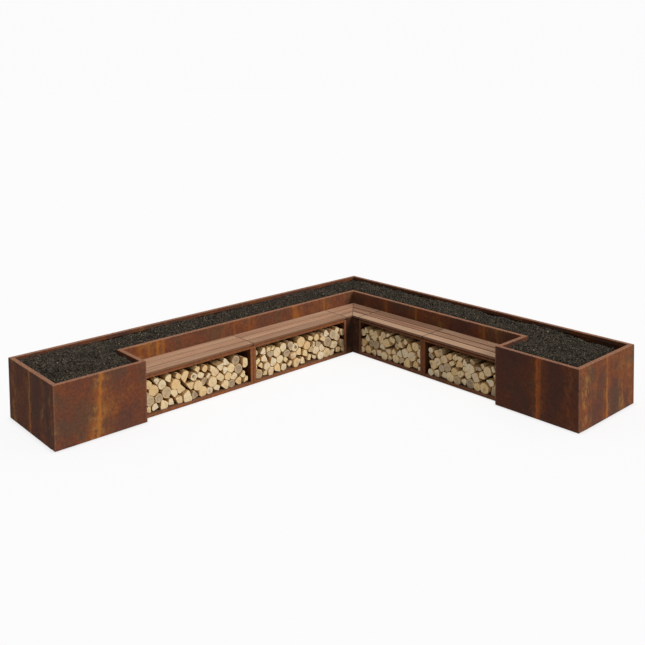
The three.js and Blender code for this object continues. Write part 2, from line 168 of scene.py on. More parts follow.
def facing(tree):
    """The X, Y and Z of the way a surface faces."""
    return parts_of(tree, add(tree, "ShaderNodeNewGeometry").outputs["Normal"])


def cloudy(tree, place, scale, detail=4.0, roughness=0.55):
    inputs = {"Vector": place, "Scale": scale, "Detail": detail, "Roughness": roughness}
    return add(tree, "ShaderNodeTexNoise", inputs).outputs["Fac"]


def streaky(tree, place, rates, detail=2.0, roughness=0.55):
    """Clouds with a rate of their own on each axis."""
    return cloudy(tree, scaled(tree, place, rates), 1.0, detail, roughness)


def spread(tree, value, low, high, to_low=0.0, to_high=1.0):
    """Maps a range smoothly, and clamps outside it."""
    inputs = {"Value": value, "From Min": low, "From Max": high, "To Min": to_low, "To Max": to_high}
    return add(tree, "ShaderNodeMapRange", inputs, interpolation_type="SMOOTHSTEP").outputs[0]


def blend_colour(tree, share, first, second, how="MIX"):
    inputs = {0: share, 6: first, 7: second}
    return add(tree, "ShaderNodeMix", inputs, data_type="RGBA", blend_type=how).outputs[2]


def tinted(tree, colour, tint, value, low, high, most=1.0):
    """Lays a tint over a colour: none of it where the value is low, most of it where it is high."""
    return blend_colour(tree, spread(tree, value, low, high, 0.0, most), colour, tint)


def shaded(tree, colour, factor):
    grey = add(tree, "ShaderNodeCombineColor", {0: factor, 1: factor, 2: factor}).outputs[0]
    return blend_colour(tree, 1.0, colour, grey, "MULTIPLY")


def ramp(tree, value, stops):
    node = add(tree, "ShaderNodeValToRGB", {0: value})
    elements = node.color_ramp.elements
    while len(elements) < len(stops):
        elements.new(1.0)
    for element, (place, colour) in zip(elements, stops):
        element.position = place
        element.color = (*colour, 1)
    return node.outputs[0]


def new_material(name):
    material = bpy.data.materials.new(name)
    material.use_nodes = True
    tree = material.node_tree
    tree.nodes.clear()
    return material, tree


def finish_material(tree, colour, roughness, height, relief, shine=0.5, metal=0.0):
    """Joins a colour, a roughness and a height to the surface shader."""
    bump = add(tree, "ShaderNodeBump", {"Height": height, "Distance": relief, "Strength": 1.0})
    shader = add(tree, "ShaderNodeBsdfPrincipled", {
        "Base Color": colour,
        "Roughness": roughness,
        "Normal": bump.outputs[0],
        "Specular IOR Level": shine,
        "Metallic": metal,
    })
    add(tree, "ShaderNodeOutputMaterial", {"Surface": shader.outputs[0]})


# Weathering steel: runs of rust

RustRun = namedtuple("RustRun", "arm along depth core halo lean")
CORE_WIDTH = 0.026
HALO_WIDTH = 0.120
BACK_WALL = 0.0


def runs_along(arm, depth, *marks):
    """Runs on a wall beside an arm. A mark is a place along it, a core, a halo and a lean."""
    return [RustRun(arm, along, depth, core, halo, lean) for along, core, halo, lean in marks]


def runs_across(arm, *marks):
    """Runs on an arm's end wall. A mark is a depth, a core, a halo and a lean."""
    return [RustRun(arm, arm.length, depth, core, halo, lean) for depth, core, halo, lean in marks]


RUST_RUNS = (
    # Backrest of the left arm
    *runs_along(
        LEFT, TROUGH_WIDTH,
        (0.960, 0.0, 0.5, 0.10), (1.072, 0.9, 0.4, 0.00), (1.370, 0.0, 0.9, 0.20), (1.450, 0.5, 1.0, 0.10),
        (1.520, 0.9, 0.6, 0.00), (1.552, 0.9, 0.0, 0.00), (2.206, 0.4, 0.0, 0.00), (2.414, 0.4, 0.2, 0.00),
        (3.315, 0.8, 0.0, 0.00), (3.380, 0.9, 1.0, 0.00), (3.430, 0.6, 1.0, 0.10), (3.540, 0.3, 0.9, 0.10),
        (3.620, 0.0, 0.6, 0.00),
    ),
    # Backrest of the right arm
    *runs_along(
        RIGHT, TROUGH_WIDTH,
        (1.150, 0.7, 0.5, 0.00), (1.628, 1.0, 0.2, 0.00), (1.950, 0.0, 0.5, 0.10), (2.600, 0.7, 0.8, 0.00),
        (2.760, 0.2, 0.6, 0.00),
    ),
    # Left end planter: its end wall, then its front
    *runs_across(
        LEFT,
        (0.492, 0.9, 0.3, 0.00), (0.110, 0.0, 0.7, 0.00), (0.800, 0.0, 0.5, 0.10), (0.980, 0.0, 0.6, 0.10),
    ),
    *runs_along(
        LEFT, END_PLANTER_WIDTH,
        (4.280, 1.0, 0.9, -0.06), (4.345, 0.3, 0.8, -0.20), (4.200, 0.0, 0.3, 0.00),
    ),
    # Right end planter: its front, then its end wall
    *runs_along(
        RIGHT, END_PLANTER_WIDTH,
        (3.557, 0.9, 0.5, 0.00), (3.575, 0.6, 0.5, 0.02), (3.900, 0.0, 0.4, 0.00),
    ),
    *runs_across(
        RIGHT,
        (0.527, 1.0, 0.5, 0.02), (0.930, 0.0, 1.0, 0.00), (0.860, 0.0, 0.6, 0.10), (0.230, 0.0, 0.8, 0.12),
        (0.090, 0.0, 0.7, 0.00),
    ),
    # Back walls
    *runs_along(
        LEFT, BACK_WALL,
        (0.620, 0.8, 0.7, 0.00), (1.480, 0.0, 1.0, 0.08), (2.350, 1.0, 0.3, 0.00), (3.300, 0.2, 0.9, 0.00),
        (4.150, 0.9, 0.5, 0.03),
    ),
    *runs_along(
        RIGHT, BACK_WALL,
        (0.820, 0.7, 0.6, 0.00), (1.700, 1.0, 0.3, 0.00), (2.640, 0.0, 1.0, 0.06), (3.480, 0.9, 0.4, 0.00),
    ),
)


def distance_in_plan(tree, plan, place):
    return add(tree, "ShaderNodeVectorMath", {0: plan, 1: place}, operation="DISTANCE").outputs["Value"]


def most_of(tree, masks):
    whole = masks[0]
    for mask in masks[1:]:
        whole = calculate(tree, "MAXIMUM", whole, mask)
    return whole


def rust_run_masks(tree, plan, height):
    """The thin lines down which water runs, and the wide speckled bands beside them."""
    cores, halos = [], []
    for run in RUST_RUNS:
        place = plan
        if run.lean:
            lean = {0: run.arm.along_axis * -run.lean, "Scale": height}
            slide = add(tree, "ShaderNodeVectorMath", lean, operation="SCALE").outputs[0]
            place = shifted(tree, plan, slide)
        aside = distance_in_plan(tree, place, arm_point(run.arm, run.along, run.depth, 0))
        if run.core:
            cores.append(spread(tree, aside, CORE_WIDTH, 0.0, 0.0, run.core))
        halos.append(spread(tree, aside, HALO_WIDTH, 0.0, 0.0, run.halo))
    return most_of(tree, cores), most_of(tree, halos)


# Runs follow the water's wandering path: a wide sway and a fine one, each with its rate and its reach.
SWAYS = ((7.0, 0.050), (45.0, 0.028))


def sway(tree, place, rate, reach):
    """A sideways shift that changes from place to place, so that a straight line comes out ragged."""
    inputs = {"Vector": place, "Scale": rate, "Detail": 4.0}
    colour = add(tree, "ShaderNodeTexNoise", inputs).outputs["Color"]
    return scaled(tree, shifted(tree, colour, (-0.5, -0.5, -0.5)), (reach, reach, 0.0))


def flat(tree, place):
    return scaled(tree, place, (1, 1, 0))


# Colours of the line and of the darkest and palest speckles beside it
RunColours = namedtuple("RunColours", "core dark pale")
ORANGE_RUNS = RunColours((0.285, 0.095, 0.016, 1), (0.205, 0.062, 0.014, 1), (0.250, 0.112, 0.028, 1))
RED_RUNS = RunColours((0.265, 0.068, 0.013, 1), (0.190, 0.048, 0.012, 1), (0.215, 0.066, 0.016, 1))


def with_rust_runs(tree, base, place, colours):
    wobble = shifted(tree, *(sway(tree, place, rate, reach) for rate, reach in SWAYS))
    plan = shifted(tree, flat(tree, place), wobble)
    cores, halos = rust_run_masks(tree, plan, parts_of(tree, place)["Z"])
    broken = cloudy(tree, scaled(tree, place, (1.0, 1.0, 0.4)), 26.0, 5.0, 0.7)
    speckle = cloudy(tree, scaled(tree, place, (1.0, 1.0, 0.6)), 19.0, 7.0, 0.75)
    cores = times(tree, cores, spread(tree, broken, 0.34, 0.54, 0.45, 1.0))
    halos = times(tree, halos, spread(tree, speckle, 0.44, 0.60, 0.15, 1.0))
    gold = spread(tree, cloudy(tree, shifted(tree, place, (5.2, 1.1, 8.3)), 7.0, 5.0), 0.46, 0.58)
    base = blend_colour(tree, halos, base, blend_colour(tree, gold, colours.dark, colours.pale))
    return blend_colour(tree, cores, base, colours.core)


# Weathering steel: the sheet

WELDED_CORNERS = (
    (LEFT, 0.0, 0.0),
    (LEFT, TROUGH_WIDTH, TROUGH_WIDTH),
    *((arm, arm.length, 0.0) for arm in ARMS),
    *((arm, arm.length, END_PLANTER_WIDTH) for arm in ARMS),
    *((arm, arm.length - END_PLANTER_LENGTH, END_PLANTER_WIDTH) for arm in ARMS),
    *((arm, arm.length - END_PLANTER_LENGTH, TROUGH_WIDTH) for arm in ARMS),
)
WELD_AND_HIGHLIGHT_WIDTH = 0.016
STEEL_RELIEF = 0.0006
SHADED_STEEL_RELIEF = 0.0005
SCREW_RELIEF = 0.0001
BRONZE = (0.070, 0.038, 0.022, 1)
ORANGE_RUST = (0.190, 0.062, 0.014, 1)
DARK_SPECKLE = (0.058, 0.021, 0.012, 1)
PAINTED_SHADE_RUST = (0.024, 0.010, 0.008, 1)
WELD_RUST_AND_HIGHLIGHT = (0.170, 0.080, 0.050, 1)
DUST_AND_TOP_LIGHT = (0.205, 0.104, 0.062, 1)
DARK_GRAIN = (0.045, 0.018, 0.012, 1)

# Warmth is the least share of orange. The painted shade share darkens the faces that turn towards -X, away
# from the key light. The tone and painted light factor brightens or darkens the whole finish: partly its
# own tone, partly painted light on lit parts and painted shade on shaded ones.
SteelFinish = namedtuple("SteelFinish", "name warmth shelter brightness runs")
PLANTER_FINISH = SteelFinish("planter_steel", 0.0, 0.0, 1.0, ORANGE_RUNS)
STORE_FINISH = SteelFinish("store_steel", 0.35, 0.2, 1.0, ORANGE_RUNS)
GOLDEN_STORE_FINISH = SteelFinish("golden_store_steel", 0.50, 0.2, 1.35, ORANGE_RUNS)

# The finish of a solid goes by the first start that its name has
# A tone and painted light factor above 1, on the left store, its seat frames and the backrests, is partly
# painted light; below 1, on the right front, it is painted shade.
STEEL_FINISHES = {
    "log_bay_left": GOLDEN_STORE_FINISH,
    "seat_frame_left": GOLDEN_STORE_FINISH,
    "log_bay_right": STORE_FINISH,
    "seat_frame": STORE_FINISH,
    "backrest_left": SteelFinish("pale_backrest_steel", 0.15, 0.0, 1.22, ORANGE_RUNS),
    "backrest_right": SteelFinish("backrest_steel", 0.0, 0.0, 1.12, ORANGE_RUNS),
    "end_panel_left": SteelFinish("shady_end_steel", 0.0, 0.42, 1.0, ORANGE_RUNS),
    "front_panel_right": SteelFinish("shady_front_steel", 0.0, 0.48, 0.93, RED_RUNS),
}


def rust_clouds(tree, place, mottle, warmth):
    """Purple-brown, red-brown and bronze clouds, orange drips and dark speckles."""
    base = ramp(tree, cloudy(tree, place, 2.1, 8.0, 0.68), (
        (0.34, (0.056, 0.024, 0.018)),
        (0.44, (0.088, 0.033, 0.020)),
        (0.54, (0.124, 0.036, 0.015)),
        (0.66, (0.168, 0.060, 0.018)),
    ))
    bronze = spread(tree, cloudy(tree, shifted(tree, place, (3.1, 7.7, 1.3)), 2.9, 8.0, 0.68), 0.49, 0.60)
    base = blend_colour(tree, times(tree, bronze, 0.85), base, BRONZE)
    drips = cloudy(tree, scaled(tree, place, (1.0, 1.0, 0.6)), 6.0, 8.0, 0.7)
    base = blend_colour(tree, spread(tree, drips, 0.56, 0.69, warmth, 0.70), base, ORANGE_RUST)
    return tinted(tree, base, DARK_SPECKLE, mottle, 0.42, 0.62, 0.55)


# Lighter bands down the welded corners: weld rust and a painted highlight on the corner.
def with_welds_and_highlights(tree, base, place, mottle):
    plan = flat(tree, place)
    corner_bands = [
        spread(tree, distance_in_plan(tree, plan, arm_point(*corner, 0)), WELD_AND_HIGHLIGHT_WIDTH, 0.0)
        for corner in WELDED_CORNERS
    ]
    corner_band = times(tree, most_of(tree, corner_bands), spread(tree, mottle, 0.35, 0.60, 0.85, 0.35))
    return blend_colour(tree, corner_band, base, WELD_RUST_AND_HIGHLIGHT)


@cache
def weathering_steel(finish):
    """Rusted sheet: clouds of rust, orange runs, welded corners with a painted highlight, a dusty rim that
    is also painted lighter on top, painted shade on faces towards -X, and a fine grain.
    """
    material, tree = new_material(finish.name)
    place = object_place(tree)
    mottle = cloudy(tree, place, 34.0, 5.0, 0.68)
    grain = cloudy(tree, place, 260.0, 3.0, 0.7)
    way = facing(tree)
    base = rust_clouds(tree, place, mottle, finish.warmth)
    # Painted shade on the faces that turn towards -X, away from the key light.
    base = tinted(tree, base, PAINTED_SHADE_RUST, way["X"], -0.4, -0.8, finish.shelter)
    # Tone and painted light: the whole finish made brighter or darker.
    base = shaded(tree, base, finish.brightness)
    base = with_rust_runs(tree, base, place, finish.runs)
    # Welded corners, painted in a lighter band: partly weld rust, partly a painted highlight.
    base = with_welds_and_highlights(tree, base, place, mottle)
    # Faces that turn up get dust, which also stands in as a painted lighter top, as if lit from above.
    dust_and_top_light = times(tree, spread(tree, way["Z"], 0.35, 0.90), spread(tree, mottle, 0.30, 0.62, 1.0, 0.6))
    base = blend_colour(tree, dust_and_top_light, base, DUST_AND_TOP_LIGHT)
    base = tinted(tree, base, DARK_GRAIN, grain, 0.30, 0.70, 0.30)
    relief = plus(tree, grain, times(tree, mottle, 1.5))
    finish_material(tree, base, spread(tree, mottle, 0.3, 0.7, 0.78, 0.92), relief, STEEL_RELIEF, 0.08)
    return material


@cache
def damp_steel():
    """Rust painted darker as shade, for the trays, bulkheads and corner post, which stand in shade inside
    the bench.
    """
    material, tree = new_material("damp_steel")
    place = object_place(tree)
    clouds = cloudy(tree, place, 7.0, 6.0, 0.6)
    grain = cloudy(tree, place, 160.0, 3.0, 0.7)
    colour = ramp(tree, clouds, (
        (0.32, (0.015, 0.007, 0.005)),
        (0.52, (0.030, 0.012, 0.007)),
        (0.70, (0.072, 0.027, 0.011)),
    ))
    finish_material(tree, colour, spread(tree, clouds, 0.3, 0.7, 0.7, 0.92), grain, SHADED_STEEL_RELIEF, 0.08)
    return material


def screw_steel():
    material, tree = new_material("screw_steel")
    brushed = streaky(tree, object_place(tree), (900.0, 900.0, 60.0))
    colour = ramp(tree, brushed, ((0.3, (0.20, 0.19, 0.18)), (0.7, (0.42, 0.40, 0.38))))
    roughness = spread(tree, brushed, 0.3, 0.7, 0.32, 0.5)
    finish_material(tree, colour, roughness, brushed, SCREW_RELIEF, metal=1.0)
    return material


def steel_of(name):
    if name.startswith(("floor_tray", "bulkhead", "corner_post")):
        return damp_steel()
    for start, finish in STEEL_FINISHES.items():
        if name.startswith(start):
            return weathering_steel(finish)
    return weathering_steel(PLANTER_FINISH)


def paint_solids():
    """Gives the steel solids, whose shape is right, their finish."""
    for name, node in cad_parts.items():
        if not name.startswith(("board", "logs", "soil")):
            node.data.materials.clear()
            node.data.materials.append(steel_of(name))


# Timber. "grain" holds a point's own place in its board or log: across, along and up the piece.

BOARD_RELIEF = 0.0008
BOARD_GRAIN_BEND = 0.030
LOG_END_RELIEF = 0.0008
LOG_SIDE_RELIEF = 0.0010
RING_RATE = 1500.0
RING_UNEVENNESS = 9.0
HEART_RADIUS = 0.026
HEART_CORE_RADIUS = 0.018
HEART_UNEVENNESS = 0.008
CRACK_EDGE = 0.0011
CRACK_CORE = 0.0003
PAINTED_SHADE_START = 0.03
PAINTED_SHADE_FULL = 0.20


def piece_place(tree):
    return add(tree, "ShaderNodeAttribute", attribute_name="grain").outputs["Vector"]


def piece_tone(tree):
    tone = add(tree, "ShaderNodeAttribute", attribute_name="tone").outputs["Color"]
    return add(tree, "ShaderNodeSeparateColor", {0: tone}).outputs


def hardwood():
    """Oiled tropical boards that have started to grey: red-brown and tan lines along the grain."""
    material, tree = new_material("oiled_hardwood")
    place = piece_place(tree)
    tone = piece_tone(tree)
    bend = scaled(tree, streaky(tree, place, (6.0, 0.9, 6.0)), (BOARD_GRAIN_BEND, 0.0, BOARD_GRAIN_BEND))
    bent = shifted(tree, place, bend)
    bands = streaky(tree, bent, (42.0, 0.30, 42.0), 2.0, 0.5)
    lines = streaky(tree, bent, (95.0, 1.6, 95.0), 5.0, 0.62)
    pores = streaky(tree, bent, (700.0, 14.0, 700.0), 3.0, 0.6)
    blotch = streaky(tree, place, (5.0, 1.3, 5.0), 3.0, 0.5)
    colour = ramp(tree, lines, (
        (0.28, (0.130, 0.056, 0.030)),
        (0.45, (0.205, 0.098, 0.054)),
        (0.58, (0.250, 0.130, 0.074)),
        (0.74, (0.300, 0.178, 0.106)),
    ))
    colour = tinted(tree, colour, (0.270, 0.172, 0.106, 1), blotch, 0.45, 0.68, 0.40)
    dark_bands = spread(tree, bands, 0.43, 0.50, 0.60, 0.0)
    colour = blend_colour(tree, dark_bands, colour, (0.140, 0.056, 0.030, 1))
    colour = tinted(tree, colour, (0.330, 0.215, 0.130, 1), bands, 0.56, 0.64, 0.55)
    colour = tinted(tree, colour, (0.090, 0.040, 0.022, 1), pores, 0.52, 0.66, 0.45)
    colour = blend_colour(tree, tone["Green"], colour, (0.320, 0.216, 0.138, 1))
    # Painted shade: faces that don't turn up, the board sides seen in the gaps and the front edges, are
    # darkened.
    colour = tinted(tree, colour, (0.150, 0.062, 0.027, 1), facing(tree)["Z"], 0.75, 0.25, 0.9)
    # Each point's tone: the board's own tone, with painted shade on the right arm's rear rows and along the
    # edges beside the gaps.
    colour = shaded(tree, colour, tone["Red"])
    relief = plus(tree, lines, times(tree, pores, -0.6))
    finish_material(tree, colour, spread(tree, lines, 0.3, 0.7, 0.66, 0.82), relief, BOARD_RELIEF, 0.2)
    return material


def log_end_crack(tree, radius, angle, tone):
    """Thin cracks that run out from the middle of a log's end, turned by its tone."""
    turned = plus(tree, angle, times(tree, tone["Red"], 40.0))
    aside = times(tree, calculate(tree, "ABSOLUTE", calculate(tree, "SINE", turned)), radius)
    return spread(tree, aside, CRACK_EDGE, CRACK_CORE, 0.0, 0.8)


def log_end():
    """Sawn end grain: faint rings, a crack or two, some ends greyed, a few with a dark heart."""
    material, tree = new_material("firewood_end")
    place = piece_place(tree)
    tone = piece_tone(tree)
    section = scaled(tree, place, (1, 0, 1))
    radius = add(tree, "ShaderNodeVectorMath", {0: section}, operation="LENGTH").outputs["Value"]
    across = parts_of(tree, place)
    angle = calculate(tree, "ARCTAN2", across["Z"], across["X"])
    uneven = cloudy(tree, section, 45.0, 3.0)
    rings = calculate(
        tree, "SINE", plus(tree, times(tree, radius, RING_RATE), times(tree, uneven, RING_UNEVENNESS)),
    )
    saw = streaky(tree, place, (30.0, 30.0, 420.0))
    blotch = cloudy(tree, section, 26.0, 5.0, 0.65)
    rim = add(tree, "ShaderNodeAttribute", attribute_name="edge").outputs["Fac"]
    colour = ramp(tree, tone["Red"], (
        (0.00, (0.500, 0.330, 0.150)),
        (0.20, (0.520, 0.370, 0.185)),
        (0.50, (0.535, 0.420, 0.245)),
        (0.85, (0.530, 0.450, 0.315)),
        (1.00, (0.500, 0.355, 0.205)),
    ))
    colour = tinted(tree, colour, (0.320, 0.190, 0.085, 1), rings, -0.6, 1.0, 0.18)
    colour = tinted(tree, colour, (0.600, 0.490, 0.320, 1), saw, 0.4, 0.7, 0.16)
    colour = tinted(tree, colour, (0.400, 0.255, 0.115, 1), blotch, 0.46, 0.66, 0.45)
    grey = tinted(tree, (0.165, 0.113, 0.068, 1), (0.290, 0.210, 0.134, 1), uneven, 0.35, 0.65)
    greyed = times(tree, tone["Green"], spread(tree, rim, 0.60, 0.92, 1.0, 0.55))
    colour = blend_colour(tree, greyed, colour, grey)
    colour = tinted(tree, colour, (0.240, 0.140, 0.065, 1), rim, 0.90, 1.0, 0.6)
    from_heart = plus(tree, radius, times(tree, uneven, HEART_UNEVENNESS))
    heart = times(tree, spread(tree, from_heart, HEART_RADIUS, HEART_CORE_RADIUS), tone["Blue"])
    colour = blend_colour(tree, heart, colour, (0.180, 0.135, 0.088, 1))
    crack = log_end_crack(tree, radius, angle, tone)
    colour = blend_colour(tree, crack, colour, (0.070, 0.045, 0.025, 1))
    relief = calculate(tree, "SUBTRACT", times(tree, saw, 0.6), crack)
    finish_material(tree, colour, 0.85, relief, LOG_END_RELIEF, 0.1)
    return material


def log_side():
    """Thin dry bark and split faces, streaked along the log, with painted shade that darkens them towards
    the back of the store.
    """
    material, tree = new_material("firewood_side")
    place = piece_place(tree)
    fibres = streaky(tree, place, (110.0, 4.0, 110.0), 5.0, 0.65)
    flakes = streaky(tree, place, (34.0, 6.0, 34.0), 4.0, 0.6)
    colour = ramp(tree, fibres, (
        (0.32, (0.460, 0.260, 0.100)),
        (0.50, (0.660, 0.420, 0.180)),
        (0.68, (0.800, 0.580, 0.300)),
    ))
    colour = tinted(tree, colour, (0.380, 0.200, 0.078, 1), flakes, 0.48, 0.64, 0.45)
    greyed = times(tree, piece_tone(tree)["Green"], 0.5)
    colour = blend_colour(tree, greyed, colour, (0.280, 0.190, 0.105, 1))
    # Painted shade: the sides darken towards the back of the store, under the seat.
    darkest, brightest = STORE_REACH - PAINTED_SHADE_FULL, STORE_REACH - PAINTED_SHADE_START
    colour = shaded(tree, colour, spread(tree, parts_of(tree, place)["Y"], darkest, brightest, 0.35, 1.0))
    finish_material(tree, colour, 0.88, plus(tree, fibres, flakes), LOG_SIDE_RELIEF, 0.1)
    return material


# Meshes


def in_scene(name, data):
    """Makes an object of a mesh, a lamp or a camera and puts it in the scene."""
    item = bpy.data.objects.new(name, data)
    bpy.context.scene.collection.objects.link(item)
    return item


def new_mesh(name, vertices, faces):
    mesh = bpy.data.meshes.new(name)
    mesh.from_pydata(vertices, [], faces)
    mesh.update()
    return mesh


def new_piece(mesh, name, materials, replaced=()):
    """Makes a piece of a mesh, which holds its place, and hands it to the frame."""
    piece = in_scene(name, mesh)
    mesh.materials.clear()
    for material in materials:
        mesh.materials.append(material)
    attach(piece, "root")
    if replaced:
        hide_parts(*replaced)


def store_numbers(mesh, name, values):
    mesh.attributes.new(name, "FLOAT", "POINT").data.foreach_set("value", values)


def store_look(mesh, grain, tones):
    """Stores each point's place in its board or log, and the tone of that board or log."""
    places = mesh.attributes.new("grain", "FLOAT_VECTOR", "POINT")
    places.data.foreach_set("vector", [c for place in grain for c in place])
    colours = mesh.attributes.new("tone", "FLOAT_COLOR", "POINT")
    colours.data.foreach_set("color", [c for tone in tones for c in (*tone, 1.0)])


# Soil bed: it falls a little towards the lips, is lumpy, and has settled in the right end planter.
# The drops are below the rim: at the lips, in the middle, and the most and least that lumps leave.

SOIL_RELIEF = 0.006
SOIL_CELL = 0.0085
SOIL_EDGE_DROP = 0.047
SOIL_CROWN_DROP = 0.022
SOIL_MOST_DROP = 0.058
SOIL_LEAST_DROP = 0.013
SOIL_SHOULDER = 0.11
SOIL_STEP = 0.0006
SOIL_UNDER_LIP = RIM_HEIGHT - LIP_HEIGHT - 2 * GAP
SOIL_FLOOR = 2 * SHEET + 3 * GAP
LIP_CLEAR = RIM_WIDTH + 2 * GAP
WALL_CLEAR = 0.013
SUNK_DEPTH = 0.040
SUNK_LENGTH = 0.45
SUNK_WIDTH = 0.50
SoilWave = namedtuple("SoilWave", "rate rise")
SOIL_WAVES = (
    SoilWave(1.7, 0.020), SoilWave(5.0, 0.018), SoilWave(16.0, 0.014), SoilWave(36.0, 0.016),
    SoilWave(75.0, 0.011),
)
SOIL_NODES = ("soil_left_end", "soil_left_trough", "soil_corner", "soil_right_trough", "soil_right_end")


def soil_material():
    """Dark, damp, crumbly compost. "crumb" is 0 on the bed and a tone of its own on each loose crumb."""
    material, tree = new_material("compost")
    place = object_place(tree)
    crumb = add(tree, "ShaderNodeAttribute", attribute_name="crumb").outputs["Fac"]
    clods = cloudy(tree, place, 52.0, 6.0, 0.7)
    grit = cloudy(tree, place, 420.0, 4.0, 0.7)
    damp = cloudy(tree, place, 3.5, 4.0)
    bed = ramp(tree, clods, (
        (0.40, (0.003, 0.002, 0.001)),
        (0.50, (0.020, 0.016, 0.011)),
        (0.60, (0.056, 0.045, 0.032)),
    ))
    loose = ramp(tree, crumb, (
        (0.00, (0.006, 0.005, 0.003)),
        (0.45, (0.026, 0.021, 0.015)),
        (0.98, (0.076, 0.061, 0.044)),
        (0.997, (0.190, 0.158, 0.118)),
    ))
    colour = tinted(tree, bed, loose, crumb, 0.001, 0.01)
    colour = tinted(tree, colour, (0.010, 0.008, 0.006, 1), damp, 0.45, 0.65, 0.35)
    colour = tinted(tree, colour, (0.075, 0.060, 0.042, 1), grit, 0.62, 0.70, 0.4)
    relief = plus(tree, clods, times(tree, grit, 0.35))
    finish_material(tree, colour, 0.95, relief, SOIL_RELIEF, 0.08)
    return material


def soil_sunk(x, y):
    """How far the soil of the right end planter has settled towards the back wall."""
    along, depth = OUTER_CORNER.y - y, OUTER_CORNER.x - x
    start = RIGHT_ARM_LENGTH - END_PLANTER_LENGTH
    lengthwise = min(1.0, max(0.0, (along - start) / SUNK_LENGTH))
    return SUNK_DEPTH * lengthwise * max(0.0, 1 - depth / SUNK_WIDTH)


def soil_height(x, y, inset):
    drop = SOIL_EDGE_DROP + (SOIL_CROWN_DROP - SOIL_EDGE_DROP) * min(1.0, inset / SOIL_SHOULDER)
    for wave in SOIL_WAVES:
        drop -= wave.rise * noise.noise(Vector((x * wave.rate, y * wave.rate, wave.rate)))
    return RIM_HEIGHT - max(SOIL_LEAST_DROP, min(SOIL_MOST_DROP, drop)) - soil_sunk(x, y)


def lattice(stops):
    """Coordinates from the first stop to the last, through every stop, in steps of about a soil cell."""
    places = [stops[0]]
    for start, end in zip(stops, stops[1:]):
        count = max(1, round((end - start) / SOIL_CELL))
        places += [start + (end - start) * (i + 1) / count for i in range(count)]
    return places


def planted_area():
    """The lattice lines of the open top, and how far a place lies inside its edge: below 0 outside it."""
    far, near = TROUGH_WIDTH - LIP_CLEAR, LIP_CLEAR
    wide = END_PLANTER_WIDTH - LIP_CLEAR
    left_end, right_end = (arm.length - LIP_CLEAR for arm in ARMS)
    left_return, right_return = (arm.length - END_PLANTER_LENGTH + LIP_CLEAR for arm in ARMS)
    xs = lattice([OUTER_CORNER.x - d for d in (left_end, left_return, wide, far, near)])
    ys = lattice([OUTER_CORNER.y - d for d in (right_end, right_return, wide, far, near)])
    rooms = (
        (near, left_end, near, far),
        (near, far, near, right_end),
        (left_return, left_end, near, wide),
        (near, wide, right_return, right_end),
    )

    def inset(x, y):
        across, down = OUTER_CORNER.x - x, OUTER_CORNER.y - y
        return max(min(across - a, b - across, down - c, d - down) for a, b, c, d in rooms)

    return xs, ys, inset


def soil_surface():
    """The lumpy top as vertices and quads, with each vertex's way outwards and how far inside it lies."""
    xs, ys, inset = planted_area()
    numbers = {}
    vertices = []
    insets = []
    faces = []
    reach = {}

    def vertex(i, j):
        if (i, j) not in numbers:
            numbers[i, j] = len(vertices)
            insets.append(inset(xs[i], ys[j]))
            vertices.append(Vector((xs[i], ys[j], soil_height(xs[i], ys[j], insets[-1]))))
        return numbers[i, j]

    for i, j in product(range(len(xs) - 1), range(len(ys) - 1)):
        if inset((xs[i] + xs[i + 1]) / 2, (ys[j] + ys[j + 1]) / 2) > 0:
            faces.append([vertex(i, j), vertex(i + 1, j), vertex(i + 1, j + 1), vertex(i, j + 1)])
            for di, dj in product((0, 1), (0, 1)):
                corner = vertex(i + di, j + dj)
                reach[corner] = reach.get(corner, Vector((0, 0, 0))) + Vector((2 * di - 1, 2 * dj - 1, 0))
    return vertices, faces, reach, insets


def border_edges(faces):
    """Edges with a face on one side only, each in the direction in which its face runs."""
    directed = {(a, b) for face in faces for a, b in zip(face, face[1:] + face[:1])}
    return sorted((a, b) for a, b in directed if (b, a) not in directed)


def sign(value):
    return (value > 0) - (value < 0)


def soil_underside(rim, lowest):
    """One face under the whole bed, its corners in order round the border."""
    following = {a: b for a, b in rim}
    start = rim[0][0]
    loop = [start]
    while following[loop[-1]] != start:
        loop.append(following[loop[-1]])
    return [lowest[v] for v in reversed(loop)]


def soil_bed(material):
    """One bed from end to end: a lumpy top, spread under the lips to the walls, down to the trays."""
    vertices, faces, reach, insets = soil_surface()
    top_count = len(vertices)
    rim = border_edges(faces)
    ring = sorted({v for edge in rim for v in edge})
    shelf = {v: min(vertices[v].z - SOIL_STEP, SOIL_UNDER_LIP) for v in ring}
    levels = (
        (0.0, shelf),
        (LIP_CLEAR - WALL_CLEAR, {v: shelf[v] - SOIL_STEP for v in ring}),
        (LIP_CLEAR - WALL_CLEAR, {v: SOIL_FLOOR for v in ring}),
    )
    previous = {v: v for v in ring}
    for offset, heights in levels:
        current = {}
        for v in ring:
            place = vertices[v] + Vector((sign(reach[v].x), sign(reach[v].y), 0)) * offset
            current[v] = len(vertices)
            vertices.append(Vector((place.x, place.y, heights[v])))
        faces += [[previous[b], previous[a], current[a], current[b]] for a, b in rim]
        previous = current
    faces.append(soil_underside(rim, previous))
    mesh = new_mesh("soil_bed", vertices, faces)
    new_piece(mesh, "soil_bed", [material], SOIL_NODES)
    open_places = [float(inset > CRUMB_MARGIN) for inset in insets]
    store_numbers(mesh, "open", open_places + [0.0] * (len(vertices) - top_count))
    store_numbers(mesh, "crumb", [0.0] * len(vertices))
    return mesh


# Pieces grown by geometry nodes


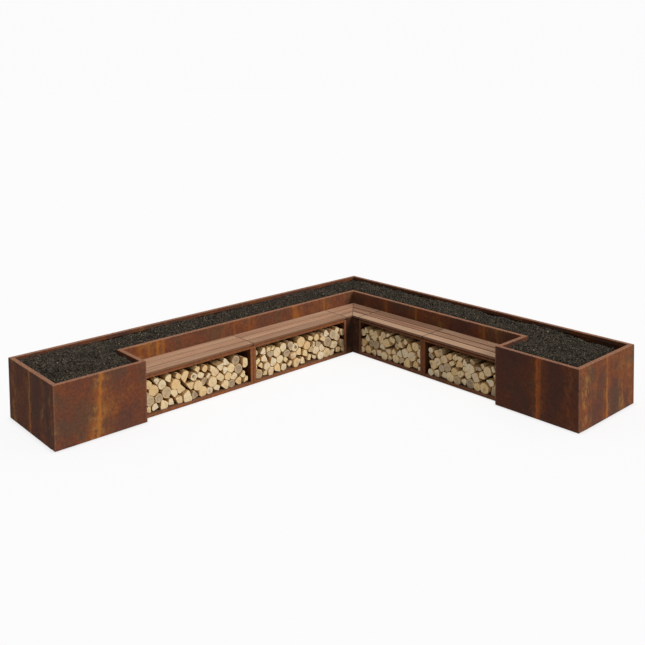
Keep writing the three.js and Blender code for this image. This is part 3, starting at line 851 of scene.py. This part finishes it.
def new_tree(name, kinds):
    """A tree of geometry nodes, whose inputs are given by name and kind, and its inputs' sockets."""
    tree = bpy.data.node_groups.new(name, "GeometryNodeTree")
    for socket_name, kind in {"Geometry": "Geometry", **kinds}.items():
        tree.interface.new_socket(socket_name, in_out="INPUT", socket_type=f"NodeSocket{kind}")
    tree.interface.new_socket("Geometry", in_out="OUTPUT", socket_type="NodeSocketGeometry")
    return tree, add(tree, "NodeGroupInput").outputs


def random_value(tree, inputs, kind="FLOAT_VECTOR"):
    return add(tree, "FunctionNodeRandomValue", inputs, data_type=kind).outputs


def finish_tree(tree, instances, material):
    whole = add(tree, "GeometryNodeRealizeInstances", {"Geometry": instances}).outputs[0]
    smooth = add(tree, "GeometryNodeSetShadeSmooth", {"Geometry": whole}).outputs[0]
    painted = add(tree, "GeometryNodeSetMaterial", {"Geometry": smooth, "Material": material}).outputs[0]
    add(tree, "NodeGroupOutput", {0: painted})


def grown(source, tree, values):
    """Runs a node tree on a copy of a mesh and returns the mesh that it makes."""
    carrier = in_scene("carrier", source.copy())
    modifier = carrier.modifiers.new("grown", "NODES")
    modifier.node_group = tree
    for socket in tree.interface.items_tree:
        if socket.in_out == "INPUT" and socket.name in values:
            modifier[socket.identifier] = values[socket.name]
    graph = bpy.context.evaluated_depsgraph_get()
    made = bpy.data.meshes.new_from_object(carrier.evaluated_get(graph))
    bpy.data.objects.remove(carrier)
    return made


# Loose crumbs on the soil

CRUMB_MARGIN = 0.014
CRUMB_LEAST_SHARES = (0.7, 0.7, 0.5)
CRUMB_MOST_SHARES = (1.2, 1.2, 0.9)
ANY_TURN = 6.3
CRUMBS = {
    "coarse": {"Density": 1500.0, "Least": 0.0050, "Most": 0.0110, "Seed": 4},
    "fine": {"Density": 1700.0, "Least": 0.0028, "Most": 0.0055, "Seed": 9},
}


def crumb_tree():
    """Loose lumps strewn on the open soil. Each is a little flattened and holds a tone of its own."""
    kinds = {"Density": "Float", "Least": "Float", "Most": "Float", "Seed": "Int", "Material": "Material"}
    tree, given = new_tree("strewn_crumbs", kinds)
    layer = add(tree, "GeometryNodeInputNamedAttribute", {"Name": "open"}, data_type="FLOAT").outputs[0]
    is_open = add(tree, "FunctionNodeCompare", {0: layer, 1: 0.99}, operation="GREATER_THAN").outputs[0]
    points = add(tree, "GeometryNodeDistributePointsOnFaces", {
        "Mesh": given["Geometry"], "Selection": is_open, "Density": given["Density"], "Seed": given["Seed"],
    }).outputs["Points"]
    lump = add(tree, "GeometryNodeMeshIcoSphere", {"Radius": 1.0, "Subdivisions": 1}).outputs[0]
    turn = random_value(tree, {0: (0, 0, 0), 1: (ANY_TURN, ANY_TURN, ANY_TURN), "Seed": given["Seed"]})[0]
    size = random_value(tree, {2: given["Least"], 3: given["Most"], "Seed": given["Seed"]}, "FLOAT")[1]
    shape = random_value(tree, {0: CRUMB_LEAST_SHARES, 1: CRUMB_MOST_SHARES})[0]
    scale = add(tree, "ShaderNodeVectorMath", {0: shape, "Scale": size}, operation="SCALE").outputs[0]
    lumps = add(tree, "GeometryNodeInstanceOnPoints", {
        "Points": points, "Instance": lump, "Rotation": turn, "Scale": scale,
    }).outputs[0]
    tone = random_value(tree, {2: 0.02, 3: 1.0}, "FLOAT")[1]
    stored = {"Geometry": lumps, "Name": "crumb", "Value": tone}
    toned = add(tree, "GeometryNodeStoreNamedAttribute", stored, data_type="FLOAT", domain="INSTANCE")
    finish_tree(tree, toned.outputs[0], given["Material"])
    return tree


def soil_crumbs(bed, material):
    tree = crumb_tree()
    for size, values in CRUMBS.items():
        mesh = grown(bed, tree, {**values, "Material": material})
        new_piece(mesh, f"soil_crumbs_{size}", [material])


# Seat boards

BOARD_EDGE = 0.0025
BOARD_EDGE_STEPS = 3
EDGE_ROUND_SHARE = 0.3
MOST_INSET_SHARE = 0.999
BOARD_STEP = 0.08
BOARD_ROWS = ("rear", "middle", "front")
BOARD_PANELS = ("corner", "inner", "outer")
BOARDS = tuple(product(ARMS, BOARD_PANELS, BOARD_ROWS))
# A row's tone and painted light, and how greyed it is. The right arm's rear and middle rows are partly
# darkened as painted shade of its backrest.
BoardShade = namedtuple("BoardShade", "brightness greyed")
BOARD_SHADES = {
    ("left", "rear"): BoardShade(1.03, 0.15),
    ("left", "middle"): BoardShade(1.04, 0.10),
    ("left", "front"): BoardShade(0.93, 0.20),
    ("right", "rear"): BoardShade(0.82, 0.10),
    ("right", "middle"): BoardShade(0.84, 0.00),
    ("right", "front"): BoardShade(0.97, 0.50),
}
BOARD_SHADE_SPREAD = 0.07
# The top's edges and the board ends are darkened, more on the right arm: dirt and painted shade beside the
# gaps and joints.
DIRT_AND_GAP_SHADE_WIDTH = 0.010
DIRT_AND_GAP_SHADE = {"left": 0.75, "right": 0.55}


def board_outline(near, far, bottom, top, inset, dirt_and_gap_shade):
    """A board's section, (depth, height, shade), with rounded edges, drawn in by the inset. Its top is
    darker along the edges: dirt and painted shade beside the gaps.
    """
    corners = ((far, bottom, -0.5), (far, top, 0.0), (near, top, 0.5), (near, bottom, 1.0))
    radius = BOARD_EDGE - inset
    points = []
    for depth, height, turn in corners:
        centre_depth = depth + (BOARD_EDGE if depth == near else -BOARD_EDGE)
        centre_height = height + (BOARD_EDGE if height == bottom else -BOARD_EDGE)
        shade = dirt_and_gap_shade if height == top else 1.0
        for step in range(BOARD_EDGE_STEPS + 1):
            angle = math.pi * (turn + 0.5 * step / BOARD_EDGE_STEPS)
            across, up = radius * math.cos(angle), radius * math.sin(angle)
            points.append((centre_depth + across, centre_height + up, shade))
        if (depth, height) == (far, top):
            points += [(far - DIRT_AND_GAP_SHADE_WIDTH, top - inset, 1.0), (near + DIRT_AND_GAP_SHADE_WIDTH, top - inset, 1.0)]
    return points


def board_stations(start, end, dirt_and_gap_shade):
    """Places along a board, each with its section's inset and shade. Its ends are rounded and darker: dirt
    and painted shade at the joints.
    """
    count = max(1, round((end - start) / BOARD_STEP))
    rounded = EDGE_ROUND_SHARE * BOARD_EDGE
    ends = (
        (0.0, MOST_INSET_SHARE * BOARD_EDGE, dirt_and_gap_shade), (rounded, rounded, dirt_and_gap_shade),
        (BOARD_EDGE, 0.0, dirt_and_gap_shade), (DIRT_AND_GAP_SHADE_WIDTH, 0.0, 1.0),
    )
    stations = [(start + along, inset, shade) for along, inset, shade in ends]
    stations += [(start + (end - start) * i / count, 0.0, 1.0) for i in range(1, count)]
    return stations + [(end - along, inset, shade) for along, inset, shade in reversed(ends)]


def seat_board(arm, panel, row, material, chance):
    node = f"board_{arm.name}_{panel}_{row}"
    (start, near, bottom), (end, far, top) = arm_range(arm, node)
    mitre = 1.0 if panel == "corner" else 0.0
    offset = Vector([chance.uniform(0, 9) for _ in range(3)])
    shade = BOARD_SHADES[arm.name, row]
    brightness = shade.brightness + chance.uniform(-BOARD_SHADE_SPREAD, BOARD_SHADE_SPREAD)
    dirt_and_gap_shade = DIRT_AND_GAP_SHADE[arm.name]
    vertices, faces, grain, tones = [], [], [], []
    previous = None
    for along, inset, end_shade in board_stations(start, end, dirt_and_gap_shade):
        section = board_outline(near, far, bottom, top, inset, dirt_and_gap_shade)
        current = [len(vertices) + k for k in range(len(section))]
        for depth, height, edge_shade in section:
            slant = mitre * (depth - near) * (end - along) / (end - start)
            vertices.append(arm_point(arm, along + slant, depth, height))
            grain.append(Vector((depth, along, height)) + offset)
            tones.append((brightness * min(end_shade, edge_shade), shade.greyed, 0.0))
        if previous is None:
            faces.append(current[::-1])
        else:
            following = (previous[1:] + previous[:1], current[1:] + current[:1])
            faces += [list(quad) for quad in zip(previous, *following, current)]
        previous = current
    faces.append(previous)
    if arm is RIGHT:
        faces = [face[::-1] for face in faces]
    mesh = new_mesh(f"seat_{node}", vertices, faces)
    new_piece(mesh, f"seat_{node}", [material], [node])
    store_look(mesh, grain, tones)


def seat_boards(material):
    chance = Random(11)
    for arm, panel, row in BOARDS:
        seat_board(arm, panel, row, material, chance)


# Screws that hold the boards to the bars of the frames below

FRAME_BAR = 0.040
FRAME_BAR_SPACING = 0.400
SCREW_EDGE_CLEAR = 0.030
SCREW_SIDES = 12
# The head's radius and height from its rim below the board's top to the bottom of the driver's recess
SCREW_PROFILE = (
    (0.0040, -0.0016), (0.0052, 0.0001), (0.0049, 0.0004), (0.0022, 0.0004), (0.0019, -0.0010),
)


def screw_head():
    """A countersunk head with a driver's recess, turned about its own axis."""
    vertices = [Vector((0, 0, SCREW_PROFILE[0][1]))]
    for (radius, height), k in product(SCREW_PROFILE, range(SCREW_SIDES)):
        angle = 2 * math.pi * k / SCREW_SIDES
        vertices.append(Vector((radius * math.cos(angle), radius * math.sin(angle), height)))
    last = len(vertices)
    vertices.append(Vector((0, 0, SCREW_PROFILE[-1][1])))
    faces = []
    for k in range(SCREW_SIDES):
        following = (k + 1) % SCREW_SIDES
        faces.append([0, 1 + following, 1 + k])
        for ring in range(len(SCREW_PROFILE) - 1):
            low, high = 1 + ring * SCREW_SIDES, 1 + (ring + 1) * SCREW_SIDES
            faces.append([low + k, low + following, high + following, high + k])
        faces.append([last - SCREW_SIDES + k, last - SCREW_SIDES + following, last])
    return bpy.data.objects.new("screw_head", new_mesh("screw_head", vertices, faces))


def bar_places(start, end):
    windows = math.ceil((end - start - FRAME_BAR) / FRAME_BAR_SPACING)
    return [start + FRAME_BAR / 2 + i * (end - start - FRAME_BAR) / windows for i in range(windows + 1)]


def screw_places():
    places = []
    for arm, panel, row in BOARDS:
        (_, near, _), (_, far, top) = arm_range(arm, f"board_{arm.name}_{panel}_{row}")
        if panel == "corner":
            bars = [arm_range(arm, "seat_frame_corner")[1][0] - FRAME_BAR / 2]
        else:
            (start, _, _), (end, _, _) = arm_range(arm, f"seat_frame_{arm.name}_{panel}")
            bars = bar_places(start, end)
        for along, depth in product(bars, (near + SCREW_EDGE_CLEAR, far - SCREW_EDGE_CLEAR)):
            places.append(arm_point(arm, along, depth, top))
    return places


def screw_tree():
    tree, given = new_tree("screws_on_points", {"Head": "Object", "Material": "Material"})
    head = add(tree, "GeometryNodeObjectInfo", {"Object": given["Head"]}).outputs["Geometry"]
    turn = random_value(tree, {1: (0, 0, ANY_TURN)})[0]
    heads = add(tree, "GeometryNodeInstanceOnPoints", {
        "Points": given["Geometry"], "Instance": head, "Rotation": turn,
    }).outputs[0]
    finish_tree(tree, heads, given["Material"])
    return tree


def screws(material):
    head = screw_head()
    places = new_mesh("screw_places", screw_places(), [])
    new_piece(grown(places, screw_tree(), {"Head": head, "Material": material}), "seat_screws", [material])
    bpy.data.objects.remove(head)


# Firewood: where the logs lie, as in the solids

LOG_RADIUS_LEAST = 0.036
LOG_RADIUS_MOST = 0.055
LOG_RADIUS_TOP = 0.028
LOG_RADIUS_STEP = 0.002
LOG_STACK_HEIGHT = 0.318
LOG_STACK_SIDE_GAP = 0.062
LOG_SET_BACK = 0.014
LOG_STAGGER = 0.024
LOG_MOST_MISSES = 3
GOLDEN_SHARE = 0.6180339887
STAGGER_SHARE = 0.7548776662
TINY_SHARE = 1e-6
Log = namedtuple("Log", "x z radius stagger")


def log_radius(index):
    return LOG_RADIUS_LEAST + (LOG_RADIUS_MOST - LOG_RADIUS_LEAST) * ((index * GOLDEN_SHARE) % 1)


def places_on_two(first, second, radius):
    """The two places where a log of this radius touches both logs."""
    dx, dz = second.x - first.x, second.z - first.z
    distance = math.hypot(dx, dz)
    a, b = first.radius + radius, second.radius + radius
    if distance > a + b:
        return []
    along = (distance**2 + a**2 - b**2) / (2 * distance)
    aside = math.sqrt(max(0.0, a**2 - along**2))
    x, z = first.x + dx * along / distance, first.z + dz * along / distance
    across, up = dz * aside / distance, dx * aside / distance
    return [(x - across, z + up), (x + across, z - up)]


def resting_places(logs, radius, width):
    """Places where a log touches two of: the floor, a side of the stack, another log."""
    if not logs:
        return [(radius, radius)]
    places = []
    for log in logs:
        reach = radius + log.radius
        aside = math.sqrt(max(0.0, reach**2 - (radius - log.z) ** 2))
        places += [(log.x - aside, radius), (log.x + aside, radius)]
        for x in (radius, width - radius):
            places.append((x, log.z + math.sqrt(max(0.0, reach**2 - (x - log.x) ** 2))))
    for i, first in enumerate(logs):
        for second in logs[i + 1 :]:
            places += places_on_two(first, second, radius)
    return places


def is_free(place, radius, logs, width):
    x, z = place
    slack = radius * TINY_SHARE
    inside = radius - slack <= x <= width - radius + slack and z >= radius - slack
    return inside and all(math.hypot(x - g.x, z - g.z) >= radius + g.radius - slack for g in logs)


def lowest_place(logs, radius, width):
    free = [p for p in resting_places(logs, radius, width) if is_free(p, radius, logs, width)]
    lowest = min(free, key=lambda p: (p[1], p[0]), default=None)
    return lowest if lowest and lowest[1] + radius <= LOG_STACK_HEIGHT else None


def stack_logs(width):
    """Logs dropped in one by one, each to the lowest place where it fits."""
    logs = []

    def drop(radius):
        place = lowest_place(logs, radius, width)
        if place:
            logs.append(Log(*place, radius, (len(logs) * STAGGER_SHARE) % 1))
        return bool(place)

    misses, index = 0, 0
    while misses < LOG_MOST_MISSES:
        misses += not drop(log_radius(index))
        index += 1
    steps = 0
    while LOG_RADIUS_MOST - steps * LOG_RADIUS_STEP >= LOG_RADIUS_TOP - LOG_RADIUS_MOST * TINY_SHARE:
        steps += not drop(LOG_RADIUS_MOST - steps * LOG_RADIUS_STEP)
    return logs


# Firewood: the shape of a log. It is whole, or split into a half, a wedge or a squared piece.

LOG_GAP = 0.0012
LOG_SIDES = 30
MOST_REACH_SHARE = 1.6
WHOLE_SWELL_SHARE = 1.07
SPLIT_SWELL_SHARE = 1.34
WHOLE_LOGS_SHARE = 0.35
UP_TO_HALVES_SHARE = 0.55
UP_TO_WEDGES_SHARE = 0.88
CUT_DEPTH_SHARES = (0.36, 0.72)
WEDGE_ANGLES = (1.7, 2.3)
SQUARED_ANGLES = (1.55, 3.14)
LUMP_SHARE = 0.07
LUMP_RATE = 1.6

# Rings on a log's sawn end: the share of its outline, and whether a hollow log's ring lies deeper
END_RING_SHARES = ((0.30, True), (0.44, True), (0.52, False), (0.80, False), (0.965, False))
BACK_RING_SHARE = 0.96
HOLLOW_DEPTH = 0.007
SIDE_RING_DEPTHS = (0.0025, 0.05, 0.13)
BACK_EDGE = 0.002
PITH_SHARE = 0.25
MOST_TILT = 0.05
TILTED_DEPTH = 0.02
BARK_SHARE = 0.035
BARK_RATE_ROUND = 3
BARK_RATE_ALONG = 9


def log_angle(k):
    return 2 * math.pi * k / LOG_SIDES


def reach_in_cell(log, angle, limits):
    """How far a log may go in one direction before it meets a neighbour's share of the space."""
    way = (math.cos(angle), math.sin(angle))
    reach = log.radius * MOST_REACH_SHARE
    for normal, distance in limits:
        towards = way[0] * normal[0] + way[1] * normal[1]
        if towards > TINY_SHARE:
            reach = min(reach, distance / towards)
    return reach


def cell_limits(log, logs, width):
    """The lines, each a direction and a distance from the log's middle, that bound its own space."""
    limits = [((0, -1), log.z), ((-1, 0), log.x), ((1, 0), width - log.x)]
    for other in logs:
        distance = math.hypot(other.x - log.x, other.z - log.z)
        if other is not log and distance < 4 * LOG_RADIUS_MOST:
            normal = ((other.x - log.x) / distance, (other.z - log.z) / distance)
            border = (distance**2 + log.radius**2 - other.radius**2) / (2 * distance)
            limits.append((normal, border - LOG_GAP))
    return limits


def split_faces(log, kind, chance):
    """The flat faces of a split log, as directions and distances from its middle."""
    turn = chance.uniform(0, 2 * math.pi)
    wedge = chance.uniform(*WEDGE_ANGLES)
    if kind < UP_TO_HALVES_SHARE:
        angles = (0.0,)
    elif kind < UP_TO_WEDGES_SHARE:
        angles = (0.0, wedge)
    else:
        angles = (0.0, *SQUARED_ANGLES)
    return [
        ((math.cos(turn + angle), math.sin(turn + angle)), log.radius * chance.uniform(*CUT_DEPTH_SHARES))
        for angle in angles
    ]


def log_outline(log, logs, width, chance, whole):
    """Distances from a log's middle to its surface, all round."""
    kind = 0.0 if whole else chance.random()
    split = kind > WHOLE_LOGS_SHARE
    limits = cell_limits(log, logs, width)
    limits += split_faces(log, kind, chance) if split else []
    swell = SPLIT_SWELL_SHARE if split else WHOLE_SWELL_SHARE
    phase = chance.uniform(0, 100)
    reaches = []
    for k in range(LOG_SIDES):
        angle = log_angle(k)
        lump_place = Vector((phase, LUMP_RATE * math.cos(angle), LUMP_RATE * math.sin(angle)))
        lumpy = 1 + LUMP_SHARE * noise.noise(lump_place)
        reaches.append(min(reach_in_cell(log, angle, limits), log.radius * swell * lumpy))
    following = reaches[1:] + reaches[:1]
    preceding = reaches[-1:] + reaches[:-1]
    smooth = [0.25 * a + 0.5 * b + 0.25 * c for a, b, c in zip(preceding, reaches, following)]
    return [min(a, b) for a, b in zip(smooth, reaches)]


def log_sections(front, back, hollow):
    """A log's rings, outwards and then along it: (share of the outline, depth, on the end)."""
    sunk = HOLLOW_DEPTH if hollow else 0.0
    end = [(share, front - sunk if deeper else front, True) for share, deeper in END_RING_SHARES]
    side = [(1.0, front - depth, False) for depth in SIDE_RING_DEPTHS]
    return [*end, *side, (1.0, back + BACK_EDGE, False), (BACK_RING_SHARE, back, True)]


# A stack's mesh while it is made. Kinds are the faces' materials, edges the points' shares of the outline.
StackMesh = namedtuple("StackMesh", "vertices faces kinds grain tones edges")
Bay = namedtuple("Bay", "arm start floor front back")


def add_log(log, outline, bay, hollow, tone, made, chance):
    pith_x, pith_z = (chance.uniform(-PITH_SHARE, PITH_SHARE) * log.radius for _ in range(2))
    tilt_x, tilt_z = (chance.uniform(-MOST_TILT, MOST_TILT) for _ in range(2))
    phase = chance.uniform(0, 50)
    front = bay.front - log.stagger * LOG_STAGGER

    def put(x, z, depth, share):
        lean = x * tilt_x + z * tilt_z if depth > front - TILTED_DEPTH else 0.0
        along, height = bay.start + log.x + x, bay.floor + log.z + z
        made.vertices.append(arm_point(bay.arm, along, depth + lean, height))
        made.grain.append((x - pith_x, depth, z - pith_z))
        made.tones.append(tone)
        made.edges.append(share)
        return len(made.vertices) - 1

    def join(face, on_end):
        made.faces.append(face)
        made.kinds.append(0 if on_end else 1)

    sections = log_sections(front, bay.back, hollow)
    centre = put(0, 0, sections[0][1], 0.0)
    previous = None
    for share, depth, on_end in sections:
        current = []
        for k in range(LOG_SIDES):
            angle = log_angle(k)
            bark_place = Vector((phase + BARK_RATE_ROUND * angle, BARK_RATE_ALONG * depth, 0))
            peeled = 1.0 if on_end else 1 - BARK_SHARE * (0.5 + noise.noise(bark_place))
            reach = outline[k] * share * min(1.0, peeled)
            current.append(put(reach * math.cos(angle), reach * math.sin(angle), depth, share))
        for k in range(LOG_SIDES):
            following = (k + 1) % LOG_SIDES
            if previous is None:
                join([centre, current[k], current[following]], on_end)
            else:
                join([previous[k], current[k], current[following], previous[following]], on_end)
        previous = current
    centre = put(0, 0, bay.back, 0.0)
    for k in range(LOG_SIDES):
        join([centre, previous[(k + 1) % LOG_SIDES], previous[k]], True)


# Warmth, greyness and darkness of the heart of the logs
HOLLOW_TONE = (0.6, 0.1, 1.0)
GREY_LOGS_SHARE = 0.14
DARK_HEARTS_SHARE = 0.12
TOP_ROWS_SHARE = 0.60


def log_tone(chance):
    grey = chance.uniform(0.6, 1.0) if chance.random() < GREY_LOGS_SHARE else chance.uniform(0.0, 0.18)
    heart = chance.uniform(0.2, 0.5) if chance.random() < DARK_HEARTS_SHARE else 0.0
    return chance.random(), grey, heart


def hollow_log(logs, width, hollow_share):
    """The log of the top rows that lies nearest to a share of the width."""
    if hollow_share is None:
        return None
    high = [g for g in logs if g.z > TOP_ROWS_SHARE * LOG_STACK_HEIGHT]
    return min(high, key=lambda g: abs(g.x - hollow_share * width))


def firewood_stack(arm, bay_name, hollow_share, seed, materials):
    """One bay's logs. One of them may have lost its heart."""
    node = f"logs_{arm.name}_{bay_name}"
    (start, _, _), (end, reach, _) = arm_range(arm, f"log_bay_{arm.name}_{bay_name}")
    (_, back, floor_height), _ = arm_range(arm, node)
    start += LOG_STACK_SIDE_GAP if bay_name == "outer" else SHEET + GAP
    width = end - SHEET - GAP - start
    bay = Bay(arm, start, floor_height, reach - SHEET - LOG_SET_BACK, back)
    logs = stack_logs(width)
    hollow = hollow_log(logs, width, hollow_share)
    chance = Random(seed)
    made = StackMesh([], [], [], [], [], [])
    for log in logs:
        tone = HOLLOW_TONE if log is hollow else log_tone(chance)
        outline = log_outline(log, logs, width, chance, log is hollow)
        add_log(log, outline, bay, log is hollow, tone, made, chance)
    name = f"firewood_{arm.name}_{bay_name}"
    mesh = new_mesh(name, made.vertices, [face[::-1] for face in made.faces] if arm is LEFT else made.faces)
    new_piece(mesh, name, materials, [node])
    mesh.polygons.foreach_set("material_index", made.kinds)
    store_look(mesh, made.grain, made.tones)
    store_numbers(mesh, "edge", made.edges)


# Each stack's arm and bay, the hollow log's share of the width, and the seed of its draws
STACKS = (
    (LEFT, "outer", 0.52, 17),
    (LEFT, "inner", 0.57, 5),
    (RIGHT, "inner", None, 8),
    (RIGHT, "outer", None, 13),
)


def firewood(materials):
    for stack in STACKS:
        firewood_stack(*stack, materials)


# Studio


def inside_span(tree, value, low, high):
    offset = calculate(tree, "SUBTRACT", value, (low + high) / 2)
    return calculate(tree, "LESS_THAN", calculate(tree, "ABSOLUTE", offset), (high - low) / 2)


def under_bench(tree):
    """1 on the floor below either arm, 0 elsewhere."""
    place = parts_of(tree, object_place(tree))
    spans = (
        (solid_low.x, solid_high.x, solid_high.y - STORE_REACH, solid_high.y),
        (solid_high.x - STORE_REACH, solid_high.x, solid_low.y, solid_high.y),
    )
    return most_of(tree, [
        times(tree, inside_span(tree, place["X"], left, right), inside_span(tree, place["Y"], front, back))
        for left, right, front, back in spans
    ])


def floor():
    material, tree = new_material("studio_floor")
    shader = add(tree, "ShaderNodeBsdfDiffuse", {"Color": FLOOR_TINT})
    strength = times(tree, calculate(tree, "SUBTRACT", 1.0, under_bench(tree)), FLOOR_GLOW)
    glow = add(tree, "ShaderNodeEmission", {"Color": WHITE, "Strength": strength})
    both = add(tree, "ShaderNodeAddShader", {0: shader.outputs[0], 1: glow.outputs[0]})
    add(tree, "ShaderNodeOutputMaterial", {"Surface": both.outputs[0]})
    half = FLOOR_SIDE / 2
    corners = [(-half, -half, 0), (half, -half, 0), (half, half, 0), (-half, half, 0)]
    mesh = new_mesh("studio_floor", corners, [(0, 1, 2, 3)])
    mesh.materials.append(material)
    plane = in_scene("studio_floor", mesh)
    return plane


def shining(sun):
    light = bpy.data.lights.new(sun.name, "SUN")
    light.energy = sun.strength
    light.angle = sun.spread
    lamp = in_scene(sun.name, light)
    lamp.rotation_euler = sun.towards.to_track_quat("Z", "Y").to_euler()
    return lamp


def lights(ground):
    """A light from above, and a key and a fill from the sides, which are kept off the floor."""
    shining(TOP_LIGHT)
    unlit = bpy.data.collections.new("lit_from_above_only")
    unlit.objects.link(ground)
    unlit.collection_objects[0].light_linking.link_state = "EXCLUDE"
    for sun in (KEY_LIGHT, FILL_LIGHT):
        shining(sun).light_linking.receiver_collection = unlit


def surround():
    """A white backdrop for the camera, which lights the bench far less than it shows."""
    world = bpy.data.worlds.new("studio")
    bpy.context.scene.world = world
    world.use_nodes = True
    tree = world.node_tree
    tree.nodes.clear()
    seen = add(tree, "ShaderNodeLightPath").outputs["Is Camera Ray"]
    lighting = add(tree, "ShaderNodeBackground", {"Color": WHITE, "Strength": AMBIENT_STRENGTH})
    backdrop = add(tree, "ShaderNodeBackground", {"Color": BACKDROP_TINT, "Strength": 1.0})
    both = add(tree, "ShaderNodeMixShader", {0: seen, 1: lighting.outputs[0], 2: backdrop.outputs[0]})
    add(tree, "ShaderNodeOutputWorld", {"Surface": both.outputs[0]})


def camera():
    data = bpy.data.cameras.new("camera")
    data.sensor_width = SENSOR_WIDTH
    data.lens = FOCAL_PIXELS * SENSOR_WIDTH / PICTURE_SIDE
    data.shift_y = -PRINCIPAL_RISE_PIXELS / PICTURE_SIDE
    data.clip_end = FLOOR_SIDE
    seat = in_scene("camera", data)
    turn = Matrix.Rotation(-CAMERA_YAW, 4, "Z") @ Matrix.Rotation(math.pi / 2 + CAMERA_PITCH, 4, "X")
    seat.matrix_world = Matrix.Translation(CAMERA_PLACE) @ turn @ Matrix.Rotation(CAMERA_ROLL, 4, "Z")
    bpy.context.scene.camera = seat


camera()
paint_solids()
compost = soil_material()
soil_crumbs(soil_bed(compost), compost)
seat_boards(hardwood())
screws(screw_steel())
firewood([log_end(), log_side()])
lights(floor())
surround()
bpy.context.scene.view_settings.view_transform = "Standard"
